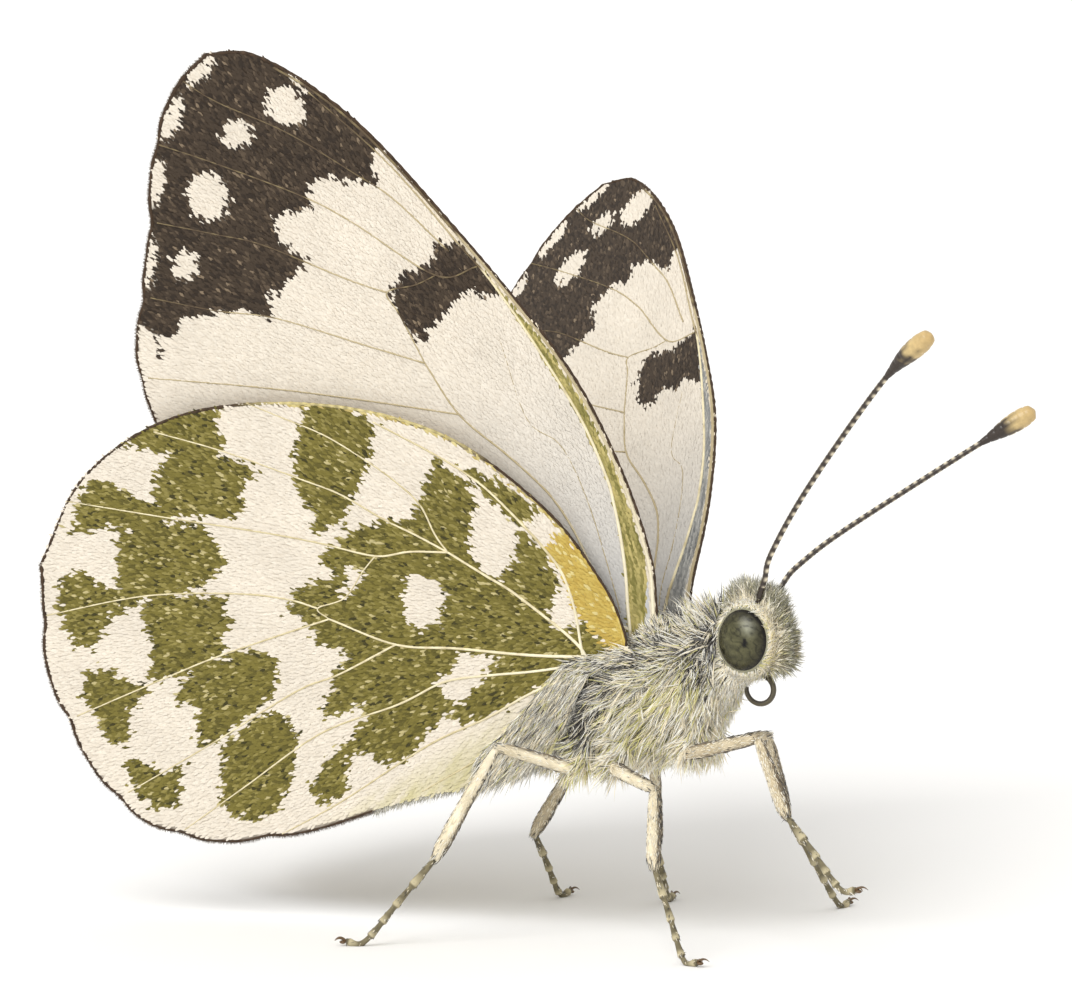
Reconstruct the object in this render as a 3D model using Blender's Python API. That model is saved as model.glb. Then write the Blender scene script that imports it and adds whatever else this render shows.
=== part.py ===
"""A Bath White butterfly at life size, standing with its wings half raised.

The script works in millimetres, with X forward, Y to the animal's left and Z up from
the floor, and writes its meshes in metres. Every solid reaches out to the tips of the
coat, and neighbours are parted by a thin gap.
"""

import math

import bmesh
import bpy
from mathutils import Vector

# Driving dimensions, in millimetres and degrees.
MM = 0.001
GAP = 0.12
WING_HINGE = Vector((4.892, -5.529, 10.55))  # midway between the roots of the two forewings
SIDES = {"right": -1, "left": 1}

# Wings: the plane of each wing holds a forward axis, pitched up, and a spanwise axis.
WING_PITCH = 33.0
WING_THICKNESS = 0.5
WING_BOW = 0.3
BOW_CENTRE = -8.0
BOW_CHORD = 10.0
ROOT_ANGLE = 8.0
WING_OPENING = {"right": 15.1, "left": 47.8}
FOREWING_SWEEP = {"right": 0.0, "left": 3.3}
HINDWING_SWEEP = {"right": 0.0, "left": -1.0}
BEND_START = -0.5
BEND_END = 2.0
WING_ROOT = {"right": 0.95, "left": 1.2}
FRONT_SHARE = {"right": 1.0, "left": 0.8}  # the left wing's front strip, seen curled in
HINDWING_STEP = 0.75
SPAN_CELLS = 16
CHORD_CELLS = 6

# Outlines in the wing's own plane: forward of the hinge, then out along the span.
FOREWING_COSTA = (
    (0.3, -0.1), (1.3, 1.9), (2.25, 4.6), (2.9, 8.0),
    (2.85, 11.4), (2.45, 15.4), (1.5, 20.2), (0.6, 22.4), (-0.6, 23.6),
)
FOREWING_HIND_EDGE = (
    (-1.6, 0.6), (-5.6, 5.4), (-9.4, 9.8), (-11.2, 12.3), (-10.4, 14.7),
    (-8.9, 17.4), (-6.5, 19.8), (-4.6, 21.7), (-2.6, 23.3), (-0.6, 23.6),
)
HINDWING_COSTA = (
    (-0.9, 0.1), (-0.3, 2.2), (-0.5, 5.2), (-1.9, 9.0),
    (-5.0, 12.15), (-9.2, 14.3), (-13.2, 14.4), (-16.4, 12.8),
)
HINDWING_HIND_EDGE = (
    (-2.5, 0.0), (-4.7, -1.4), (-6.3, -1.9), (-11.0, -0.5), (-14.4, 0.4),
    (-17.2, 1.8), (-18.9, 3.7), (-19.3, 6.2), (-18.5, 9.8), (-16.4, 12.8),
)

# Trunk: stations along the spine as forward, up, half width and half height, from the hinge.
THORAX_STATIONS = (
    (-3.75, -4.05, 0.95, 0.9), (-3.2, -3.8, 1.3, 1.4), (-2.4, -3.5, 1.6, 1.9),
    (-1.3, -3.0, 1.85, 2.25), (-0.1, -2.5, 1.9, 2.35), (0.9, -1.75, 1.65, 2.15),
    (1.7, -1.05, 1.35, 1.8), (2.5, -0.5, 1.1, 1.5),
)
ABDOMEN_STATIONS = (
    (-10.9, -4.95, 0.12, 0.14), (-10.5, -4.9, 0.42, 0.5), (-9.4, -4.7, 0.72, 0.85),
    (-7.6, -4.4, 0.9, 1.0), (-5.8, -4.2, 0.98, 1.02), (-4.7, -4.15, 0.95, 0.95),
    (-4.1, -4.12, 0.9, 0.88),
)

# Head: a furry ball with a domed eye let into each side.
HEAD_CENTRE = Vector((2.95, 0.0, -0.45))
HEAD_RADII = Vector((1.15, 1.15, 1.85))
NECK_POINT = Vector((1.98, 0.0, -1.0))
NECK_NORMAL = Vector((0.9, 0.0, 0.35))
CHIN_POINT = Vector((2.92, 0.0, -1.72))
CHIN_NORMAL = Vector((-0.5, 0.0, 0.86))
EYE_CENTRE = Vector((3.05, 0.75, -0.6))
EYE_RADII = Vector((0.8, 0.54, 1.02))
PALP_LINE = ((4.05, 0.36, -1.62), (4.36, 0.4, -1.2), (4.48, 0.4, -0.6), (4.44, 0.36, 0.05))
PALP_RADII = (0.2, 0.25, 0.25, 0.2)
TONGUE_CENTRE = Vector((3.24, 0.0, -2.3))
TONGUE_CURL = 0.5
TONGUE_RADIUS = 0.2
TONGUE_TURN = (45.0, -180.0)

# Antennae: from the root on the crown to the tip of the club.
ANTENNA_LINES = {
    "right": ((3.53, -0.47, 1.3), (3.98, -0.74, 2.46), (5.5, -1.13, 4.79), (8.43, -1.91, 8.41), (10.2, -2.3, 9.97)),
    "left": ((3.74, 0.58, 1.12), (4.2, 1.1, 1.9), (5.35, 2.05, 2.95), (8.56, 4.23, 5.34), (10.66, 5.2, 6.77)),
}
ANTENNA_RADIUS = 0.25
CLUB_RADIUS = 0.34

# Legs: hip, knee and ankle from the hinge, then the toe's place in plan. The right
# foreleg is lifted for its next step, and the other five feet stand on the floor.
LEG_LINES = {
    ("right", "hind"): ((-2.5, -1.75, -4.9), (-4.65, -3.2, -4.09), (-6.2, -4.6, -7.64), (-8.9, -5.7)),
    ("right", "mid"): ((-1.2, -1.75, -4.75), (0.93, -3.2, -5.13), (1.38, -4.2, -7.47), (3.2, -4.8)),
    ("right", "front"): ((1.3, -1.25, -4.2), (4.22, -2.4, -3.37), (5.58, -3.2, -5.68), (8.2, -3.6)),
    ("left", "hind"): ((-2.5, 1.4, -5.0), (-4.9, 3.8, -5.3), (-7.1, 4.9, -8.2), (-6.8, 7.0)),
    ("left", "mid"): ((-1.2, 1.75, -4.75), (-2.3, 4.0, -5.4), (-2.95, 5.5, -8.4), (-3.3, 7.6)),
    ("left", "front"): ((0.9, 1.4, -4.4), (2.23, 2.9, -4.08), (1.95, 5.0, -6.95), (2.55, 8.8)),
}
FEMUR_RADII = (0.25, 0.3, 0.29, 0.25)
TIBIA_RADII = (0.25, 0.27, 0.3, 0.27)
TARSUS_RADII = (0.25, 0.25, 0.25, 0.25)
FOOT_HEIGHT = 0.15
LIFTED_FOOT = {("right", "front"): 2.65}
FOOT_LENGTH = 0.8
JOINT_GAP = 0.42
KNEE_START = 0.1
LEG_SIDES = 8


# Finishes: name, colour, roughness.
CREAM_SCALES = ("wing", (0.80, 0.74, 0.64), 0.75)
GREY_FUR = ("fur", (0.55, 0.54, 0.42), 0.9)
PALE_SCALES = ("leg", (0.67, 0.60, 0.45), 0.7)
DARK_HORN = ("horn", (0.12, 0.09, 0.06), 0.45)
OLIVE_EYE = ("eye", (0.07, 0.08, 0.04), 0.15)


def clear_scene():
    for obj in list(bpy.data.objects):
        bpy.data.objects.remove(obj)


def finish(name, colour, roughness):
    """The named material, made on first use."""
    found = bpy.data.materials.get(name)
    if found:
        return found
    made = bpy.data.materials.new(name)
    made.use_nodes = True
    shader = made.node_tree.nodes["Principled BSDF"]
    shader.inputs["Base Color"].default_value = (*colour, 1.0)
    shader.inputs["Roughness"].default_value = roughness
    return made


def add_object(name, shape, look):
    """Turn a bmesh, given in millimetres from the wing hinge, into a named object in metres."""
    bmesh.ops.recalc_face_normals(shape, faces=shape.faces)
    bmesh.ops.scale(shape, verts=shape.verts, vec=Vector((MM, MM, MM)))
    mesh = bpy.data.meshes.new(name)
    shape.to_mesh(mesh)
    shape.free()
    mesh.materials.append(finish(*look))
    mesh.shade_smooth()
    obj = bpy.data.objects.new(name, mesh)
    obj.location = WING_HINGE * MM
    bpy.context.collection.objects.link(obj)
    return obj


def curve_through(points, steps):
    """Points of a smooth curve through the given ones, with steps to each stretch."""
    given = [Vector(p) for p in points]
    padded = [2 * given[0] - given[1], *given, 2 * given[-1] - given[-2]]
    found = []
    for before, start, end, after in zip(padded, padded[1:], padded[2:], padded[3:]):
        for i in range(steps):
            t = i / steps
            bend = 2 * before - 5 * start + 4 * end - after
            twist = 3 * start - before - 3 * end + after
            found.append(start + 0.5 * t * ((end - before) + t * (bend + t * twist)))
    return [*found, given[-1]]


def evenly(points, count):
    """Points spread evenly along a polyline, both ends kept."""
    lengths = [0.0]
    for a, b in zip(points, points[1:]):
        lengths.append(lengths[-1] + (b - a).length)
    found = []
    stretch = 0
    for i in range(count):
        reach = lengths[-1] * i / (count - 1)
        while stretch < len(points) - 2 and lengths[stretch + 1] < reach:
            stretch += 1
        part = (reach - lengths[stretch]) / (lengths[stretch + 1] - lengths[stretch])
        found.append(points[stretch].lerp(points[stretch + 1], part))
    return found


def value_along(values, t):
    """A value read smoothly from a short list, with t from 0 to 1."""
    place = t * (len(values) - 1)
    low = min(int(place), len(values) - 2)
    return values[low] + (values[low + 1] - values[low]) * (place - low)


def skin_rings(rings):
    """A closed shape through rings of points, with a flat cap at each end."""
    shape = bmesh.new()
    rows = [[shape.verts.new(p) for p in ring] for ring in rings]
    for low, high in zip(rows, rows[1:]):
        for i, corner in enumerate(low):
            j = (i + 1) % len(low)
            shape.faces.new((corner, low[j], high[j], high[i]))
    shape.faces.new(rows[0][::-1])
    shape.faces.new(rows[-1])
    return shape


def limb(line, radii, sides):
    """A tube along a line, its radius read from the list, with rounded ends."""
    side_way = None
    rings = []
    last = len(line) - 1
    for i, point in enumerate(line):
        ahead = (line[min(i + 1, last)] - line[max(i - 1, 0)]).normalized()
        if side_way is None:
            side_way = ahead.orthogonal()
        side_way = (side_way - ahead * side_way.dot(ahead)).normalized()
        up_way = ahead.cross(side_way)
        radius = value_along(radii, i / last)
        turns = [2 * math.pi * k / sides for k in range(sides)]
        ring = [side_way * math.cos(a) + up_way * math.sin(a) for a in turns]
        if i == 0:
            rings.append([point - ahead * 0.35 * radius + w * 0.6 * radius for w in ring])
        rings.append([point + w * radius for w in ring])
        if i == last:
            rings.append([point + ahead * 0.35 * radius + w * 0.6 * radius for w in ring])
    return rings


def bent_reach(span, opening):
    """How far up and out a wing reaches at a distance along its span, past the bend at its root."""
    root = math.radians(ROOT_ANGLE)
    rate = (math.radians(opening) - root) / (BEND_END - BEND_START)
    bent = min(max(span, BEND_START), BEND_END) - BEND_START
    below = min(span, BEND_START)
    beyond = max(span - BEND_END, 0.0)
    angle = root + rate * bent
    up = below * math.cos(root) + (math.sin(angle) - math.sin(root)) / rate + beyond * math.cos(angle)
    out = below * math.sin(root) + (math.cos(root) - math.cos(angle)) / rate + beyond * math.sin(angle)
    return up, out, angle


def wing_point(ahead, span, side, sweep, layer):
    """A point of a wing's middle surface; layer moves it towards the underside."""
    turn = math.radians(sweep)
    if ahead > 0:
        ahead *= FRONT_SHARE[side]
    along = ahead * math.cos(turn) - span * math.sin(turn)
    across = ahead * math.sin(turn) + span * math.cos(turn)
    up, out, angle = bent_reach(across, WING_OPENING[side])
    bow = layer + WING_BOW * ((along - BOW_CENTRE) / BOW_CHORD) ** 2
    up -= bow * math.sin(angle)
    out += WING_ROOT[side] + bow * math.cos(angle)
    pitch = math.radians(WING_PITCH)
    forward = Vector((math.cos(pitch), 0.0, math.sin(pitch)))
    upward = Vector((-math.sin(pitch), 0.0, math.cos(pitch)))
    return forward * along + upward * up + Vector((0.0, SIDES[side] * out, 0.0))


def make_wing(name, costa, hind_edge, side, sweep, layer):
    """A thin bowed plate between the front edge and the hind edge, which meet at the tip."""
    front = evenly(curve_through([(*p, 0.0) for p in costa], 6), SPAN_CELLS + 1)
    rear = evenly(curve_through([(*p, 0.0) for p in hind_edge], 6), SPAN_CELLS + 1)
    shape = bmesh.new()
    faces_of = {}
    for face in (-0.5, 0.5):
        depth = layer + face * WING_THICKNESS
        rows = []
        for i in range(SPAN_CELLS):
            row = []
            for j in range(CHORD_CELLS + 1):
                spot = front[i].lerp(rear[i], j / CHORD_CELLS)
                row.append(shape.verts.new(wing_point(spot.x, spot.y, side, sweep, depth)))
            rows.append(row)
        tip = shape.verts.new(wing_point(front[-1].x, front[-1].y, side, sweep, depth))
        for low, high in zip(rows, rows[1:]):
            for j in range(CHORD_CELLS):
                shape.faces.new((low[j], low[j + 1], high[j + 1], high[j]))
        for j in range(CHORD_CELLS):
            shape.faces.new((rows[-1][j], rows[-1][j + 1], tip))
        rim = [row[0] for row in rows] + [tip] + [row[-1] for row in reversed(rows)]
        faces_of[face] = rim + list(reversed(rows[0][1:-1]))
    inner, outer = faces_of[-0.5], faces_of[0.5]
    for i, corner in enumerate(inner):
        j = (i + 1) % len(inner)
        shape.faces.new((corner, inner[j], outer[j], outer[i]))
    return add_object(name, shape, CREAM_SCALES)


def part_at(shape, point, normal):
    """Cut a closed shape with a plane and keep the side that the normal points to."""
    everything = shape.verts[:] + shape.edges[:] + shape.faces[:]
    cut = bmesh.ops.bisect_plane(
        shape, geom=everything, plane_co=point, plane_no=normal, clear_inner=True
    )
    edges = [part for part in cut["geom_cut"] if isinstance(part, bmesh.types.BMEdge)]
    bmesh.ops.holes_fill(shape, edges=edges)


def trunk(stations, rings, sides):
    """A body part through oval stations, each set square to the spine."""
    spine = evenly(curve_through([(s[0], 0.0, s[1]) for s in stations], 4), rings)
    lengths = [s[0] for s in stations]
    shape_rings = []
    for i, point in enumerate(spine):
        ahead = (spine[min(i + 1, rings - 1)] - spine[max(i - 1, 0)]).normalized()
        upward = Vector((-ahead.z, 0.0, ahead.x))
        high = next((k for k, x in enumerate(lengths) if x >= point.x), len(lengths) - 1)
        high = max(high, 1)
        part = (point.x - lengths[high - 1]) / (lengths[high] - lengths[high - 1])
        half_width = stations[high - 1][2] + (stations[high][2] - stations[high - 1][2]) * part
        half_height = stations[high - 1][3] + (stations[high][3] - stations[high - 1][3]) * part
        ring = []
        for k in range(sides):
            angle = 2 * math.pi * k / sides
            sideways = Vector((0.0, half_width * math.cos(angle), 0.0))
            ring.append(point + sideways + upward * half_height * math.sin(angle))
        shape_rings.append(ring)
    return skin_rings(shape_rings)


def ellipsoid(centre, radii, segments, rings):
    shape = bmesh.new()
    bmesh.ops.create_uvsphere(shape, u_segments=segments, v_segments=rings, radius=1.0)
    for vertex in shape.verts:
        vertex.co = centre + Vector((vertex.co[i] * radii[i] for i in range(3)))
    return shape


def make_head():
    """The furry ball, cut flat at the neck and under the chin, with a socket for each eye."""
    shape = ellipsoid(HEAD_CENTRE, HEAD_RADII, 24, 14)
    part_at(shape, NECK_POINT, NECK_NORMAL)
    part_at(shape, CHIN_POINT, CHIN_NORMAL)
    head = add_object("head", shape, GREY_FUR)
    for side, sign in SIDES.items():
        centre = Vector((EYE_CENTRE.x, sign * EYE_CENTRE.y, EYE_CENTRE.z))
        room = EYE_RADII + Vector((GAP, GAP, GAP))
        cutter = add_object(f"eye_socket_{side}", ellipsoid(centre, room, 20, 12), GREY_FUR)
        cutter.hide_render = True
        cutter.display_type = "WIRE"
        socket = head.modifiers.new(f"socket_{side}", "BOOLEAN")
        socket.object = cutter
        add_object(f"eye_{side}", ellipsoid(centre, EYE_RADII, 20, 12), OLIVE_EYE)


def make_palps():
    for side, sign in SIDES.items():
        line = evenly(curve_through([(x, sign * y, z) for x, y, z in PALP_LINE], 4), 6)
        add_object(f"palp_{side}", skin_rings(limb(line, PALP_RADII, 8)), GREY_FUR)


def make_tongue():
    """The coiled sucking tube, most of one turn."""
    start, end = (math.radians(a) for a in TONGUE_TURN)
    steps = 16
    line = []
    for i in range(steps + 1):
        angle = start + (end - start) * i / steps
        line.append(TONGUE_CENTRE + TONGUE_CURL * Vector((math.cos(angle), 0.0, math.sin(angle))))
    radii = (TONGUE_RADIUS, TONGUE_RADIUS, 0.8 * TONGUE_RADIUS)
    add_object("proboscis", skin_rings(limb(line, radii, 8)), DARK_HORN)


def make_antennae():
    for side, points in ANTENNA_LINES.items():
        line = evenly(curve_through(points, 6), 20)
        stalk = [ANTENNA_RADIUS] * 15
        club = [CLUB_RADIUS * math.sin(math.pi * k / 5) for k in (1.5, 2.1, 2.6, 3.2, 4.0)]
        add_object(f"antenna_{side}", skin_rings(limb(line, stalk + club, 8)), DARK_HORN)


def make_leg(side, place, points):
    """Thigh, shin and foot, each drawn back a little from the joint before the next."""
    hip, knee, ankle = (Vector(p) for p in points[:3])
    floor = -WING_HINGE.z
    toe = Vector((*points[3], floor + LIFTED_FOOT.get((side, place), FOOT_HEIGHT)))
    down = (knee - hip).normalized()
    thigh = evenly([hip, knee - down * JOINT_GAP], 4)
    add_object(f"femur_{side}_{place}", skin_rings(limb(thigh, FEMUR_RADII, LEG_SIDES)), PALE_SCALES)
    down = (ankle - knee).normalized()
    shin = evenly([knee + down * KNEE_START, ankle - down * JOINT_GAP], 4)
    add_object(f"tibia_{side}_{place}", skin_rings(limb(shin, TIBIA_RADII, LEG_SIDES)), PALE_SCALES)
    outward = toe - ankle
    outward.z = 0.0
    heel = toe - outward.normalized() * FOOT_LENGTH
    line = evenly(curve_through([ankle, ankle.lerp(heel, 0.5), heel, toe], 6), 10)
    rings = limb(line, TARSUS_RADII, LEG_SIDES)
    for ring in rings:
        for corner in ring:
            corner.z = max(corner.z, floor)
    add_object(f"tarsus_{side}_{place}", skin_rings(rings), PALE_SCALES)


def make_butterfly():
    clear_scene()
    for side in SIDES:
        fore, hind = FOREWING_SWEEP[side], HINDWING_SWEEP[side]
        make_wing(f"forewing_{side}", FOREWING_COSTA, FOREWING_HIND_EDGE, side, fore, 0.0)
        make_wing(f"hindwing_{side}", HINDWING_COSTA, HINDWING_HIND_EDGE, side, hind, HINDWING_STEP)
    thorax = trunk(THORAX_STATIONS, 14, 20)
    part_at(thorax, NECK_POINT - NECK_NORMAL.normalized() * GAP, -NECK_NORMAL)
    add_object("thorax", thorax, GREY_FUR)
    add_object("abdomen", trunk(ABDOMEN_STATIONS, 14, 16), GREY_FUR)
    make_head()
    make_palps()
    make_tongue()
    make_antennae()
    for (side, place), points in LEG_LINES.items():
        make_leg(side, place, points)


make_butterfly()
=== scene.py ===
import math
import bpy
import numpy as np
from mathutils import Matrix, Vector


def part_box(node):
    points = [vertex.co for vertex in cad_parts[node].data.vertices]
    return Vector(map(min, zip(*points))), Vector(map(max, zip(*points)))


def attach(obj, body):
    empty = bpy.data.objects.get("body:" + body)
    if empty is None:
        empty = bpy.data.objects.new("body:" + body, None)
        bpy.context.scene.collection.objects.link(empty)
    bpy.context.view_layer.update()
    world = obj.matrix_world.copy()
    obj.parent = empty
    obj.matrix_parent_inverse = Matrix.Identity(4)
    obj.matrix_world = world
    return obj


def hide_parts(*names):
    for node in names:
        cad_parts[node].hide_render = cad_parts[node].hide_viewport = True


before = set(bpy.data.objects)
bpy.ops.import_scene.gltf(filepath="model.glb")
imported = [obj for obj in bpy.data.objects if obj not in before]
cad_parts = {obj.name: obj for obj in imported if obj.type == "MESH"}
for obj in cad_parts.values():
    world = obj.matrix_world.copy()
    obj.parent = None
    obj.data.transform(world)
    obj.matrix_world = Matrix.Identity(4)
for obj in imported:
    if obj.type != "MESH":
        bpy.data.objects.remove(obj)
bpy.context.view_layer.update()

# ---- Body skin ----------------------------------------------------------------------
# A butterfly's head, chest and belly are shells of soft cuticle that run into each other.
# One skin of dark olive cuticle stands for all of them and for the two palps, and it lies
# inside the solids by the depth of the coat.
MM = 0.001
EYE_SOLID = (3.05, 0.75, -0.6)  # ahead, aside and up from the wing hinge, in millimetres
SIDES = {"right": -1, "left": 1}
eye_corners = [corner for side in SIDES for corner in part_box(f"eye_{side}")]
HINGE = np.mean(eye_corners, axis=0) / MM - (EYE_SOLID[0], 0.0, EYE_SOLID[2])
FLOOR = -HINGE[2]
CHEST_STATIONS = (  # ahead, up, half width, half height
    (-3.9, -4.1, 0.7, 0.7), (-3.2, -3.8, 0.95, 1.05), (-2.4, -3.5, 1.2, 1.45),
    (-1.3, -3.0, 1.4, 1.75), (-0.1, -2.5, 1.4, 1.85), (0.9, -1.8, 1.2, 1.65),
    (1.7, -1.15, 0.95, 1.35), (2.4, -0.8, 0.8, 1.1),
)
BELLY_STATIONS = (
    (-10.7, -4.93, 0.12, 0.14), (-10.3, -4.88, 0.34, 0.4), (-9.4, -4.72, 0.55, 0.65),
    (-7.6, -4.42, 0.7, 0.8), (-5.8, -4.2, 0.78, 0.82), (-4.4, -4.15, 0.75, 0.78),
    (-3.4, -4.0, 0.75, 0.8),
)
HEAD_CENTRE = (2.95, 0.0, -0.45)
HEAD_RADII = (0.86, 0.9, 1.4)
CHIN_POINT, CHIN_WAY = (2.92, 0.0, -1.72), (-0.503, 0.0, 0.864)
RIM_CENTRE, RIM_RADII = (2.98, 0.6, -0.5), (1.02, 0.5, 1.2)  # the swelling that each eye is set in
FACE_CENTRE = (3.42, 0.0, -0.15)
FACE_RADII = (0.5, 0.62, 0.95)
PALP_LINE = ((3.65, 0.3, -1.3), (3.96, 0.36, -1.1), (4.06, 0.38, -0.6), (4.02, 0.35, -0.1))
PALP_RADII = (0.1, 0.14, 0.14, 0.08)
HIPS = {
    ("right", "hind"): (-2.5, -1.75, -4.9), ("right", "mid"): (-1.2, -1.75, -4.75),
    ("right", "front"): (1.3, -1.25, -4.2), ("left", "hind"): (-2.5, 1.4, -5.0),
    ("left", "mid"): (-1.2, 1.75, -4.75), ("left", "front"): (0.9, 1.4, -4.4),
}
COXA_SLANT, COXA_TOP = (0.95, 0.35, 0.0), (0.0, 0.0, -3.6)  # where a hip's joint starts inside
COXA_RADII = (0.5, 0.42, 0.3, 0.22)
SKIN_CELL = 0.07
BELLY_START = -3.6
BELLY_RINGS, RING_DEPTH = 1.05, 0.035  # the length of one belly segment, and its groove


def linear(*shade):
    """A screen colour, 0 to 255 a channel, as scene-linear values."""
    value = np.array(shade) / 255.0
    return np.where(value <= 0.04045, value / 12.92, ((value + 0.055) / 1.055) ** 2.4)


def portion(value):
    return np.clip(value, 0.0, 1.0)


def mixed(first, second, share):
    return first + (second - first) * portion(share)[:, None]


def unit(vectors):
    return vectors / np.maximum(np.linalg.norm(vectors, axis=-1, keepdims=True), 1e-9)


def curve_through(points, steps):
    """A smooth curve through the given points, with steps to each stretch."""
    given = np.asarray(points, float)
    padded = np.vstack([2 * given[0] - given[1], given, 2 * given[-1] - given[-2]])
    t = (np.arange(steps) / steps)[:, None]
    found = []
    for before, start, end, after in zip(padded, padded[1:], padded[2:], padded[3:]):
        bend = 2 * before - 5 * start + 4 * end - after
        twist = 3 * start - before - 3 * end + after
        found.append(start + 0.5 * t * ((end - before) + t * (bend + t * twist)))
    return np.vstack([*found, given[-1:]])


def evenly(points, count):
    """Points spread evenly along a polyline, both ends kept."""
    reach = np.r_[0.0, np.cumsum(np.linalg.norm(np.diff(points, axis=0), axis=1))]
    wanted = np.linspace(0.0, reach[-1], count)
    return np.column_stack([np.interp(wanted, reach, column) for column in points.T])


def repeated(faces, count, step):
    """The same triangles count times over, each time step points further on."""
    return (faces + step * np.arange(count)[:, None, None]).reshape(-1, 3)


def strips(rings, sides):
    """The triangles of a tube's wall, ring after ring."""
    near = np.arange(sides)
    after = np.roll(near, -1)
    wall = np.stack([near, after, after + sides, near, after + sides, near + sides], axis=1)
    return repeated(wall.reshape(-1, 3), rings - 1, sides)


def tube(line, radii, sides):
    """A tube along a line, closed at both ends: its points and its faces."""
    reach = np.linspace(0.0, 1.0, len(line))
    size = np.interp(reach, np.linspace(0.0, 1.0, len(radii)), radii)
    ahead = unit(np.gradient(line, axis=0))
    aside = np.cross(ahead[0], (0.0, 0.0, 1.0))
    if np.linalg.norm(aside) < 0.1:
        aside = np.cross(ahead[0], (0.0, 1.0, 0.0))
    turns = 2 * np.pi * np.arange(sides) / sides
    rings = []
    for point, way, radius in zip(line, ahead, size):
        aside = unit(aside - way * aside.dot(way))
        ring = np.outer(np.cos(turns), aside) + np.outer(np.sin(turns), np.cross(way, aside))
        rings.append(point + ring * radius)
    points = np.vstack([*rings, line[:1], line[-1:]])
    last = len(points) - 1
    near = np.arange(sides)
    after = np.roll(near, -1)
    top = last - 1 - sides
    caps = np.stack([0 * near + last - 1, after, near, 0 * near + last, top + near, top + after], axis=1)
    return points, np.vstack([strips(len(line), sides), caps.reshape(-1, 3)])


def join(shapes):
    """Several shapes as one: points and faces."""
    starts = np.cumsum([0, *(len(points) for points, _ in shapes)])
    faces = np.vstack([part + start for (_, part), start in zip(shapes, starts)])
    return np.vstack([points for points, _ in shapes]), faces


def ellipsoid(centre, radii, segments=32, rings=20):
    """A closed ball of points and triangles, stretched along each axis."""
    rise = np.pi * np.arange(1, rings) / rings
    turn = 2 * np.pi * np.arange(segments) / segments
    body = [
        (math.sin(a) * math.cos(b), math.sin(a) * math.sin(b), math.cos(a))
        for a in rise for b in turn
    ]
    points = np.vstack([body, (0.0, 0.0, 1.0), (0.0, 0.0, -1.0)])
    top, bottom = len(points) - 2, len(points) - 1
    faces = []
    for k in range(segments):
        j = (k + 1) % segments
        faces.append((top, k, j))
        for low in range(0, (rings - 2) * segments, segments):
            high = low + segments
            faces += [(low + k, high + k, high + j), (low + k, high + j, low + j)]
        faces.append((bottom, (rings - 2) * segments + j, (rings - 2) * segments + k))
    return np.asarray(centre) + points * radii, np.array(faces)


def trunk(stations, rings, sides):
    """A body part through oval stations, each set square to the spine."""
    ahead, up, *halves = np.transpose(stations)
    line = evenly(curve_through(np.c_[ahead, np.zeros_like(ahead), up], 6), rings)
    half_width, half_height = (np.interp(line[:, 0], ahead, half) for half in halves)
    points, faces = tube(line, (1.0,), sides)
    for i in range(rings):
        ring = slice(i * sides, (i + 1) * sides)
        out = points[ring] - line[i]
        wide = out * (0.0, 1.0, 0.0)
        points[ring] = line[i] + wide * half_width[i] + (out - wide) * half_height[i]
    return points, faces


def ripple(places, pitch, seed):
    """Smooth bumps between -1 and 1, about pitch apart, the same for the same seed."""
    draw = np.random.default_rng(seed)
    total = np.zeros(len(places))
    for _ in range(6):
        way = unit(draw.normal(size=places.shape[1]))
        total += np.sin(places @ way * 2 * np.pi / (pitch * draw.uniform(0.7, 1.5)) + draw.uniform(0, 7))
    return total / 3.5


def add_piece(name, shape, material, smooth=True):
    """A visible piece that rides on the one body. A shape is points in millimetres from the
    wing hinge, faces, tints and, on a coat, each point's place on the map."""
    points, faces, tints, *patches = shape
    tints = np.broadcast_to(tints, (len(points), 3))
    mesh = bpy.data.meshes.new(name)
    faces = np.ascontiguousarray(faces, np.int32)
    mesh.vertices.add(len(points))
    mesh.vertices.foreach_set("co", ((points + HINGE) * MM).astype(np.float32).ravel())
    mesh.loops.add(faces.size)
    mesh.loops.foreach_set("vertex_index", faces.ravel())
    mesh.polygons.add(len(faces))
    mesh.polygons.foreach_set("loop_start", np.arange(0, faces.size, faces.shape[1], dtype=np.int32))
    mesh.update(calc_edges=True)
    layer = mesh.color_attributes.new("tint", "FLOAT_COLOR", "POINT")
    layer.data.foreach_set("color", np.c_[tints, np.ones(len(tints))].astype(np.float32).ravel())
    if patches:
        layer = mesh.uv_layers.new(name="OFBake")
        layer.data.foreach_set("uv", patches[0][faces.ravel()].astype(np.float32).ravel())
    if smooth:
        mesh.shade_smooth()
    mesh.materials.append(material)
    piece = bpy.data.objects.new(name, mesh)
    bpy.context.collection.objects.link(piece)
    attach(piece, "root")
    return piece


def cuticle_tint(points):
    """Grey-olive cuticle, paler towards the underside."""
    under = portion((-4.2 - points[:, 2]) / 0.8)
    shade = mixed(linear(150, 147, 124), linear(206, 199, 174), under * 0.8)
    return shade * (1 + 0.12 * ripple(points, 0.6, 3))[:, None]


def wire(tree, node, inputs):
    """Sets a shader node's sockets to values, or joins them to other nodes' outputs."""
    for socket, value in inputs.items():
        if isinstance(value, bpy.types.NodeSocket):
            tree.links.new(value, node.inputs[socket])
        else:
            node.inputs[socket].default_value = value
    return node


def add_node(tree, kind, inputs, operation=None):
    node = tree.nodes.new(kind)
    if operation:
        node.operation = operation
    return wire(tree, node, inputs)


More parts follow.
